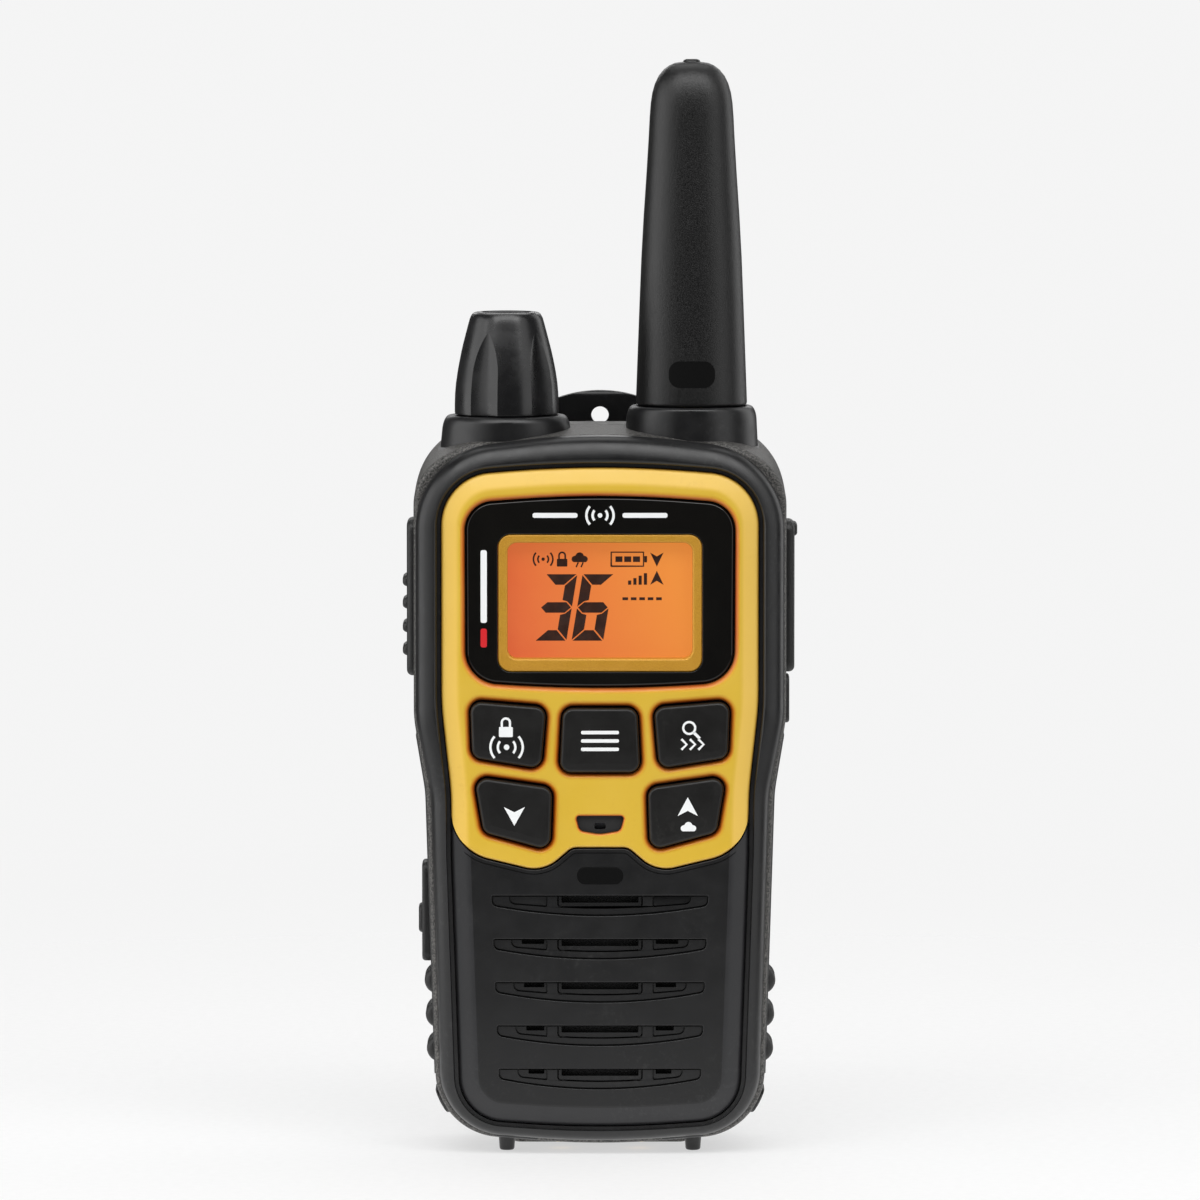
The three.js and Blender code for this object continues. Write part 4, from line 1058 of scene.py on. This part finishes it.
def add_front():
    frame_piece = piece(bezel(), "bezel", YELLOW, replaces=["front_bezel"], angle=40)
    holes = bezel_holes()
    # The rims round the bezel's holes get the rim material's painted shade.
    repaint(frame_piece, YELLOW_RIM_PAINTED_SHADE, lambda p, n: in_rim(p, n, holes))
    piece(sound_inlet(), "sound_inlet", INNER_BLACK)
    plate = piece(grille(), "grille", GRILLE_BLACK, replaces=["speaker_grille"], angle=30,
                  tidy=False)
    field = inset(INSERT, 2.7)
    # Painted reflection: faces of the sloping band outside the flat field get the paler grey.
    repaint(plate, GRILLE_SLOPE_PAINTED_REFLECTION, lambda p, n: -0.9999 < n.y < -0.3 and not inside(field, p.x, p.z))
    cloth = prism("cloth", "y", rectangle((-13.4, 13.4), (10.6, 38.1), 1), CLOTH_Y + 0.05, POCKET_Y - 0.1)
    piece(cloth, "grille_cloth", SPEAKER_CLOTH)
    badge = layered("badge", "y", rectangle((-3.3, 3.3), (39.0, 41.5), 1.2),
                    edge(-18.05, 0.12, 0.12, 3) + [(-17.8, 0)])
    piece(badge, "grille_badge", BADGE_BLACK)

    lens = layered("lens", "y", inset(LENS, 0.05), edge(LENS_Y, 0.35, 0.35) + [(-16.6, 0)])
    lens = cut(lens, layered("hole", "y", LCD_FRAME, mouth(LENS_Y, -15, 0.1)))
    piece(lens, "lens_border", LENS_BLACK, replaces=["display_lens", "lens_mask"])
    gold = layered("gold", "y", inset(LCD_FRAME, 0.03), edge(LCD_FRAME_Y, 0.35, 0.3, 5) + [(LCD_Y, 0)])
    gold = cut(gold, layered("hole", "y", LCD_WINDOW, mouth(LCD_FRAME_Y, -15, 0.35)))
    piece(gold, "display_frame", GOLD, replaces=["lcd_surround"])
    panel = prism("panel", "y", rectangle((-14.2, 14.2), (69.9, 88.9), 0.4), LCD_Y, -14.5)
    piece(panel, "display_glass", LCD_ORANGE, replaces=["lcd_panel"])
    piece(display_marks(), "display_marks", LCD_INK)

    wings = [rectangle(span(side, 3.2, 9.6), (91.4, 92.1), 0.3) for side in (-1, 1)]
    for name, outlines, colour in (
            ("lens_emblem", waves(0, 91.75, 2.1, 0.36) + wings, PRINT_WHITE),
            ("lens_stripe", [rectangle((-17.0, -16.1), (76.4, 86.8), 0.3)], PRINT_WHITE),
            ("lens_dash", [rectangle((-17.0, -16.1), (72.9, 75.6), 0.3)], PRINT_RED)):
        piece(marks(name, outlines, LENS_Y + 0.03, 0.04), name, colour)


# ---- Side parts ----

def ptt_button():
    cap = layered("ptt", "x", PTT, edge(-27.6, 0.8, 0.8, 8) + [(-24.4, 0)])
    levels = edge(-28.2, 0.75, 0.6) + [(-27, 0)]
    ribs = [layered("rib", "x", rectangle((-12.2, -6.2), (z - 0.85, z + 0.85), 0.8), levels)
            for z in (82, 78.8, 75.4, 72.1)]
    tabs = [block("tab", (-24.6, -23.8), (-12.4, -6), heights) for heights in ((67.2, 70), (89.2, 92))]
    return join(cap, *ribs, *tabs)


def jack_cover():
    cap = layered("jack", "x", JACK_COVER, [(26.05, 0)] + edge(27.8, -0.8, 0.8, 8))
    lip = layered("lip", "x", rectangle((-11.2, -6.8), (88.3, 90.3), 0.6),
                  [(27, 0)] + edge(28.2, -0.6, 0.5, 5))
    plugs = [rod("plug", "x", (JACK_Y, z), r - 0.5, 25.5, 26.2, 32) for z, r in JACKS]
    dip = layered("dip", "x", rectangle((-10.4, -7.6), (71.5, 86.5), 1.2),
                  [(27.5, 0), (27.8, -0.3), (29, -0.3)])
    return cut(join(cap, lip, *plugs), dip)


def usb_cover():
    cap = layered("usb", "x", USB_COVER, edge(-25.5, 0.5, 0.5, 6) + [(-24.1, 0)])
    pull = layered("pull", "x", rectangle((-10.3, -6.2), (31.2, 35.3), 1),
                   edge(-26, 0.5, 0.5, 5) + [(-25, 0)])
    return join(cap, pull)


def add_sides():
    for side, name in ((-1, "left"), (1, "right")):
        cover = grip(side)
        if side < 0:
            cover = cut(cover, prism("usb", "x", grown(USB_COVER, 0.8), -30, -20))
        piece(cover, f"grip_{name}", SIDE_RUBBER, replaces=[f"side_grip_{name}"])
        piece(inlay(side, BUMPER_Z, BUMPER_PROUD), f"bumper_{name}", SIDE_RUBBER,
              replaces=[f"corner_bumper_{name}"])
    piece(ptt_button(), "talk_button", SIDE_RUBBER, "ptt", ["ptt_button"])
    piece(jack_cover(), "jack_flap", SIDE_RUBBER, "jack_cover", ["jack_cover"])
    anchor = layered("anchor", "x", JACK_ANCHOR, [(26.1, 0)] + edge(27.1, -0.4, 0.4, 5))
    piece(anchor, "jack_flap_strap", SIDE_RUBBER, replaces=["jack_cover_anchor"])
    piece(usb_cover(), "usb_flap", SIDE_RUBBER, "usb_cover", ["usb_cover"])


# ---- Knob and antenna ----

KNOB_PROFILE = [                # height, radius
    (105.5, 7.3), (105.62, 7.43), (105.9, 7.48), (107, 7.48), (108.5, 7.43), (110, 7.3), (111.5, 7.08),
    (112.5, 6.9), (113.5, 6.69), (114.5, 6.47), (115.3, 6.27), (116, 6.09), (116.6, 5.94), (117.1, 5.81),
    (117.5, 5.7), (117.8, 5.62), (118, 5.57), (118.6, 5.41), (119.2, 5.24), (119.6, 5.06), (119.9, 4.86),
    (120.1, 4.55), (120.15, 4.25)]
KNOB_DISH = [                   # radius, height
    (0, 119.45), (1.5, 119.5), (2.8, 119.65), (3.6, 119.85), (4.05, 120.15), (4.2, 121), (0, 121)]
FLUTES, FIRST_FLUTE, FLUTE_HALF, FLUTE_DEPTH = 5, math.radians(-116), math.radians(16.5), 0.62
FLUTE_TOP, ARCH_FOOT = 117.4, 111.5


def knob():
    """Hollow flutes that end in pointed arches below a dished top, with wide smooth lands between them."""
    x, y = KNOB_AXIS
    rings = []
    for height, radius in KNOB_PROFILE:
        rise = min(1, max(0, (height - ARCH_FOOT) / (FLUTE_TOP - ARCH_FOOT)))
        share = max(0.02, (1 - rise ** 2) ** 0.8)
        half = FLUTE_HALF * share
        land = 2 * math.pi / FLUTES - 2 * half
        ring = []
        for k in range(FLUTES):
            middle = FIRST_FLUTE + 2 * math.pi / FLUTES * k
            for step in range(17):
                across = step / 8 - 1
                hollow = FLUTE_DEPTH * share ** 1.6 * (1 - across ** 2)
                ring.append((middle + across * half, radius - hollow))
            ring += [(middle + half + land * part / 10, radius) for part in range(1, 10)]
        rings.append([(x + r * math.cos(a), y + r * math.sin(a), height) for a, r in ring])
    return cut(skin("knob", "z", rings), lathe("dish", "z", KNOB_AXIS, KNOB_DISH),
               rod("skirt", "z", KNOB_AXIS, 5.9, 104, 108.4),
               rod("bore", "z", KNOB_AXIS, 1.7, 104, 116.6, 24))


SHEATH_PROFILE = [              # height, half the width
    (106.9, 7.75), (107.0, 7.9), (107.3, 7.96), (109, 7.9), (115, 7.68), (122, 7.42), (128, 7.18),
    (134, 6.85), (140, 6.45), (145, 6.15), (148, 6.0), (150, 5.85), (151.5, 5.62), (152.8, 5.25),
    (153.9, 4.72), (154.8, 4.0), (155.4, 3.2), (155.75, 2.4), (155.85, 1.7), (155.9, 1.25),
    (156.15, 1.15), (156.3, 0.8)]
SHEATH_DEPTH = 0.86             # of its width


def sheath(grow=0.0):
    """A flattened oval that tapers to a domed tip with a small nub."""
    def power(value):
        return math.copysign(abs(value) ** 0.86, value)
    x, y = ANTENNA_AXIS
    rings = []
    for height, half in SHEATH_PROFILE:
        half += grow
        rings.append([(x + power(p.x) * half, y + power(p.y) * half * SHEATH_DEPTH, height)
                      for p in circle((0, 0), 1, 128)])
    return skin("sheath", "z", rings)


def add_tops():
    piece(knob(), "knob", KNOB_BLACK, "volume_control", ["volume_knob"], angle=14)
    antenna = cut(sheath(), rod("bore", "z", ANTENNA_AXIS, 3.2, 105, 146))
    piece(antenna, "antenna", ANTENNA_BLACK, replaces=["antenna_sheath"], angle=50)
    x = ANTENNA_AXIS[0]
    patch = prism("patch", "y", rectangle((x - 3.3, x + 3.3), (109.6, 113.4), 1.6), -20, -8)
    patch = cut(common(patch, sheath(0.03)), sheath(-0.2))
    piece(patch, "antenna_badge", BADGE_BLACK, angle=50)


# ---- Back ----

def battery_door():
    """A plate with finger grooves, a thin frame line and a slot for its latch."""
    plate = layered("door", "y", DOOR, [(6.3, 0)] + edge(BACK_Y, -0.35, 0.35, 4))
    levels = [(7.85, 0), (BACK_Y, -0.15), (9, -0.15)]
    grips = [layered("grip", "y", rectangle((-7, 7), (z, z + 0.8), 0.35), levels) for z in (14.2, 15.9, 17.6)]
    frame_line = cut(prism("line", "y", rectangle((-13.5, 13.5), (23, 50), 2), 7.95, 9),
                     prism("land", "y", rectangle((-13.1, 13.1), (23.4, 49.6), 1.6), 7, 10))
    return cut(plate, block("slot", (-2.6, 2.6), (5, 9), (6.2, 9.9)), *grips, frame_line)


def door_latch():
    pad = layered("pad", "y", rectangle((-6, 6), (7.2, 11.4), 1),
                  [(BACK_Y + 0.15, 0)] + edge(9.2, -0.5, 0.5, 5))
    neck = block("neck", (-2.2, 2.2), (6, 8.5), (8.2, 9.6))
    tongue = block("tongue", (-4, 4), (5.1, 6.15), (6, 9))
    return cut(join(pad, neck, tongue), *grooves(4.5, (8.2, 9.1, 10.0), 0.4, 0.15, 8.95, 10))


ARM_PROFILE = rounded([
    (14, 57.6, 1), (17.6, 62, 2), (19, 70, 8), (19, 86, 20), (17.6, 98, 14), (16.2, 107.8, 0.8),
    (14, 107.8, 0.8), (16.2, 94.5, 3), (16.4, 86, 10), (16.4, 70, 6), (15.4, 64, 2), (11.5, 60.6, 1),
    (9, 59.2, 0.6)], 0.01)
ARM_FRONT = rounded(mirrored([
    (0, 57), (7.2, 57.2, 4), (8, 66), (8.4, 88, 8), (12.2, 95, 6), (12.2, 103.9, 3.5), (0, 109.5, 18)]))


def pin_bore():
    return rod("pin", "x", PIVOT, 1.15, -8, 8, 32)


def clip_arm():
    """The arm is its side profile cut to its outline, with lugs round its pin and bevelled edges."""
    bar = common(prism("arm", "x", ARM_PROFILE, -13, 13), prism("outline", "y", ARM_FRONT, 0, 25))
    y, z = PIVOT
    low, high = z - 2.2, z + 2.2
    lug = rounded([(y - 2.2, low, 2.15), (y + 3.4, low), (y + 3.4, high), (y - 2.2, high, 2.15)])
    lugs = [prism("lug", "x", lug, *span(side, 3.4, 4.9)) for side in (-1, 1)]
    arm = cut(join(bar, *lugs), pin_bore(), rod("lanyard", "y", (0, LANYARD_Z), 1.27, 10, 20, 40),
              *grooves(5.6, (97.2, 98.9, 100.6), 0.7, 0.3, 18.5, 20),
              prism("window", "y", rectangle((-4.6, 4.6), (66.5, 83), 2), 18.6, 20))
    return bevel(arm, 0.3)


def bevel(obj, width, angle=38):
    """Rounds the sharp edges of a finished solid."""
    tidied(obj)
    modifier = obj.modifiers.new("bevel", "BEVEL")
    modifier.width = width * MM
    modifier.segments = 3
    modifier.limit_method = "ANGLE"
    modifier.angle_limit = math.radians(angle)
    modifier.use_clamp_overlap = True
    mesh = evaluated(obj)
    obj.modifiers.clear()
    obj.data = mesh
    return obj


def clip_bracket():
    """The plate that slides onto the rails, with ears round the pin."""
    plate = block("plate", (-8.9, 8.9), (BACK_Y + 0.3, 9.9), (84.4, 98.5))
    y, z = PIVOT
    ear = rounded([(9.8, 88.5), (y + 2.4, z - 2.4, 2.35), (y + 2.4, z + 2.4, 2.35), (9.8, 98)])
    ears = [prism("ear", "x", ear, *span(side, 5.5, 7)) for side in (-1, 1)]
    return bevel(cut(join(plate, *ears), pin_bore()), 0.2)


def wire(name, points, radius):
    """Round wire along a smooth line through points in millimetres, as a closed mesh."""
    curve = bpy.data.curves.new(name, "CURVE")
    curve.dimensions = "3D"
    curve.bevel_depth = radius * MM
    curve.bevel_resolution = 4
    curve.use_fill_caps = True
    line = curve.splines.new("POLY")
    line.points.add(len(points) - 1)
    for point, (x, y, z) in zip(line.points, points):
        point.co = (x * MM, y * MM, z * MM, 1)
    holder = placed(name, curve)
    mesh = evaluated(holder)
    bpy.data.objects.remove(holder)
    return placed(name, mesh)


def upright_axis(low, high):
    """The middle (x, y) of a box, in millimetres."""
    return (low.x + high.x) / 2 / MM, (low.y + high.y) / 2 / MM


def clip_spring():
    """A coil round the pin with a straight leg at each end."""
    y, z = PIVOT
    steps = 112
    coil = []
    for k in range(steps + 1):
        angle = math.tau * 3.5 * k / steps
        coil.append((-2.2 + 4.4 * k / steps, y - 1.6 * math.cos(angle), z + 1.6 * math.sin(angle)))
    return wire("spring", [(-2.2, 10.5, z + 3.4), (-2.2, y - 1.7, z + 0.6), *coil, (2.2, y + 1.65, z + 0.8),
                           (2.2, 13.9, z + 4)], 0.25)


def contact_spring(low, high, flip):
    """A coil spring that narrows away from the plate that it stands on."""
    x, y = upright_axis(low, high)
    bottom, top = low.z / MM + 0.25, high.z / MM - 0.25
    steps = 96
    points = []
    for k in range(steps + 1):
        share = k / steps
        angle = math.tau * 3 * share
        radius = 2.6 - 0.9 * share
        height = top - (top - bottom) * share if flip else bottom + (top - bottom) * share
        points.append((x + radius * math.cos(angle), y + radius * math.sin(angle), height))
    return wire("spring", points, 0.22)


def battery_cell(low, high, upright):
    """A cell with a crimped end and a button end."""
    length, radius = (high.z - low.z) / MM, (high.y - low.y) / 2 / MM
    foot = [(0, 0), (3.6, 0), (3.9, 0.25), (4.3, 0.25), *[(radius - r, h) for h, r in edge(0.1, 0.5, 0.5, 4)]]
    crimp = [(radius, length - 1.6), (radius - 0.1, length - 1.2), (radius - 0.6, length - 0.85)]
    button = [(2.4, length - 0.85), (2.0, length - 0.7), (1.9, length - 0.15), (1.75, length), (0, length)]
    profile = foot + crimp + button
    bottom = low.z / MM
    if upright:
        turned = [(r, bottom + h) for r, h in profile]
    else:
        turned = [(r, bottom + length - h) for r, h in reversed(profile)]
    return lathe("cell", "z", upright_axis(low, high), turned)


def screw(place):
    """A cross-head screw seen from the back."""
    x, z = place
    thread = [(0, -9), (1.0, -9), (1.2, -8.7), (1.2, 6.1)]
    head = [(2.2, 6.1), (2.2, 6.9), (2.05, 7.2), (1.6, 7.42), (0.9, 7.5), (0, 7.5)]
    shape = lathe("screw", "y", place, thread + head, 48)
    return cut(shape, block("slot", (x - 1.35, x + 1.35), (6.8, 8), (z - 0.26, z + 0.26)),
               block("slot", (x - 0.26, x + 0.26), (6.8, 8), (z - 1.35, z + 1.35)))


def add_back():
    piece(battery_door(), "door", CASE_TEXTURED, "battery_door", ["battery_door"])
    piece(door_latch(), "latch", SIDE_RUBBER, "door_latch", ["door_latch"])
    piece(clip_bracket(), "clip_bracket_plate", CASE_SMOOTH, "clip_bracket",
          ["belt_clip_bracket"])
    piece(clip_arm(), "clip_lever", CASE_SMOOTH, "clip_arm", ["belt_clip_arm"])
    piece(clip_spring(), "clip_coil", STEEL, "clip_bracket", ["belt_clip_spring"], 60)
    pin = lathe("pin", "z", (0, 0), [
        (0, -7.6), (0.75, -7.6), (0.95, -7.4), (0.95, 7.4), (0.75, 7.6), (0, 7.6)], 32)
    pin.data.transform(Matrix.Translation(Vector((0, *PIVOT)) * MM) @ Matrix.Rotation(math.pi / 2, 4, "Y"))
    piece(pin, "clip_pin", STEEL, "clip_bracket", ["belt_clip_pin"])
    for number, place in enumerate(SCREW_PLACES, 1):
        piece(screw(place), f"screw_{number}", STEEL, replaces=[f"case_screw_{number}"])
    for number in (1, 2, 3):
        upright = number != 2
        cell = battery_cell(*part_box(f"battery_cell_{number}"), upright)
        low, high = (bound.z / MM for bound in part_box(f"battery_cell_{number}"))
        piece(cell, f"cell_{number}", CELL_JACKET, replaces=[f"battery_cell_{number}"])
        repaint(cell, STEEL, lambda p, n: p.z < low + 0.9 or p.z > high - 0.9)
        spring = contact_spring(*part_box(f"contact_spring_{number}"), not upright)
        piece(spring, f"spring_{number}", STEEL, replaces=[f"contact_spring_{number}"], angle=60)


# ---- Everything together ----

def add_case():
    front = piece(front_case(), "case_front", CASE_SMOOTH, replaces=["front_housing"])
    repaint(front, CASE_TEXTURED, lambda p, n: p.y > STEP_Y - 0.6 and not on_collar(p, n))
    rear = piece(rear_case(), "case_rear", CASE_TEXTURED, replaces=["rear_housing"])
    repaint(rear, CASE_SMOOTH, on_collar)
    profile = [(0, 1.0), (1.2, 1.0), (1.45, 1.1), (1.6, 1.35), (1.6, 3.4), (0, 3.4)]
    for name, x in (("left", -CHARGE_X), ("right", CHARGE_X)):
        contact = lathe("contact", "z", (x, CHARGE_Y), profile, 40)
        piece(contact, f"contact_{name}", CONTACT_BRASS, replaces=[f"charge_contact_{name}"])


def paint_cad_nodes():
    """The inner pieces keep their CAD shape and get a finish."""
    finishes = {
        "backlight_panel": BACKLIGHT_WHITE, "keypad_mat": KEY_RUBBER, "main_board": BOARD_GREEN,
        "speaker_cone": CONE_PAPER, "speaker_mesh": SPEAKER_CLOTH, "antenna_coil": COIL_COPPER,
        "antenna_stud": CONTACT_BRASS, "jack_module": INNER_BLACK, "ptt_switch": INNER_BLACK,
    }
    for name in ("rf_shield", "microphone_capsule", "speaker_frame", "speaker_magnet", "volume_pot",
                 "pot_nut", "volume_shaft", "usb_socket", "contact_plate_bottom", "contact_plate_top"):
        finishes[name] = STEEL
    for name, material in finishes.items():
        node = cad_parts[name]
        for slot in node.material_slots:
            slot.material = material


# What the light table and the room show to the camera, and what they give to the radio.
TABLE_SEEN, TABLE_GLOW = 0.575, 0.82
ROOM_SEEN, ROOM_GLOW = 0.91, 0.07


def studio():
    """A pale floor that fades into a white backdrop, soft boxes, and a long lens looking slightly down."""
    floor = new_object("floor", [(-900, -520, 0), (900, -520, 0), (900, 900, 0), (-900, 900, 0)],
                       [(0, 1, 2, 3)])
    shader = Shader("floor_paper")
    away = shader.node("ShaderNodeVectorMath", {0: shader.place}, operation="LENGTH").outputs["Value"]
    fade = shader.spread(away, 1, 0, 0.1, 0.42)
    fibres = shader.noise(1.5, 4)
    seen = shader.node("ShaderNodeLightPath").outputs["Is Camera Ray"]
    given = shader.spread(away, TABLE_GLOW, 0, 0.04, 0.26)
    paper = shader.mix(shader.spread(fibres, 0, 1), tone(150, 150, 150), tone(154, 154, 154))
    unseen = shader.maths("MULTIPLY", shader.maths("SUBTRACT", 1.0, seen), given)
    glow = shader.maths("ADD", shader.maths("MULTIPLY", seen, TABLE_SEEN), unseen)
    floor.data.materials.append(shader.finished(
        paper, 0.85, (fibres, 0.02), Alpha=fade, Emission_Color=tone(255, 255, 255), Emission_Strength=glow))

    world = bpy.data.worlds.new("studio")
    bpy.context.scene.world = world
    world.use_nodes = True
    tree = world.node_tree
    path = tree.nodes.new("ShaderNodeLightPath")
    mixed = tree.nodes.new("ShaderNodeMixShader")
    tree.links.new(path.outputs["Is Camera Ray"], mixed.inputs["Fac"])
    for socket, backdrop, strength in ((1, tree.nodes.new("ShaderNodeBackground"), ROOM_GLOW),
                                       (2, tree.nodes["Background"], ROOM_SEEN)):
        backdrop.inputs["Color"].default_value = (1, 1, 1, 1)
        backdrop.inputs["Strength"].default_value = strength
        tree.links.new(backdrop.outputs["Background"], mixed.inputs[socket])
    tree.links.new(mixed.outputs["Shader"], tree.nodes["World Output"].inputs["Surface"])

    middle = Vector((0, 0, 0.08))
    boxes = [                   # name, place, width, height, watts
        ("key_left", (-0.76, -0.6, 0.34), 0.6, 1.0, 2.3),
        ("key_right", (0.76, -0.6, 0.38), 0.6, 1.1, 2.8),
        ("front_top", (0.0, -0.6, 0.82), 1.3, 0.5, 9.1),
        ("side_left", (-0.6, -0.06, 0.16), 0.5, 0.6, 1.8),
        ("side_right", (0.53, 0.28, 0.2), 0.42, 0.8, 1.5),
        ("top", (0.0, 0.3, 0.8), 0.7, 0.5, 1.6),
        ("back", (0.0, 0.9, 0.45), 1.0, 0.26, 1.5),
    ]
    for name, place, width, height, power in boxes:
        light = bpy.data.lights.new(name, "AREA")
        light.shape = "RECTANGLE"
        light.size, light.size_y, light.energy = width, height, power
        lamp = placed(name, light)
        lamp.location = place
        lamp.rotation_euler = (middle - Vector(place)).to_track_quat("-Z", "Y").to_euler()

    camera = bpy.data.cameras.new("camera")
    camera.lens = 300
    camera.clip_end = 20
    field, elevation = 0.1716, math.radians(4.5)      # the picture's width at the front, and the look down
    target = Vector((0, -0.011, 0.07915))
    distance = field * camera.lens / camera.sensor_width
    eye = placed("camera", camera)
    eye.location = target + Vector((0, -math.cos(elevation), math.sin(elevation))) * distance
    eye.rotation_euler = (target - eye.location).to_track_quat("-Z", "Y").to_euler()
    bpy.context.scene.camera = eye
    bpy.context.scene.view_settings.view_transform = "Standard"


studio()
add_case()
add_front()
add_keys()
add_sides()
add_tops()
add_back()
paint_cad_nodes()
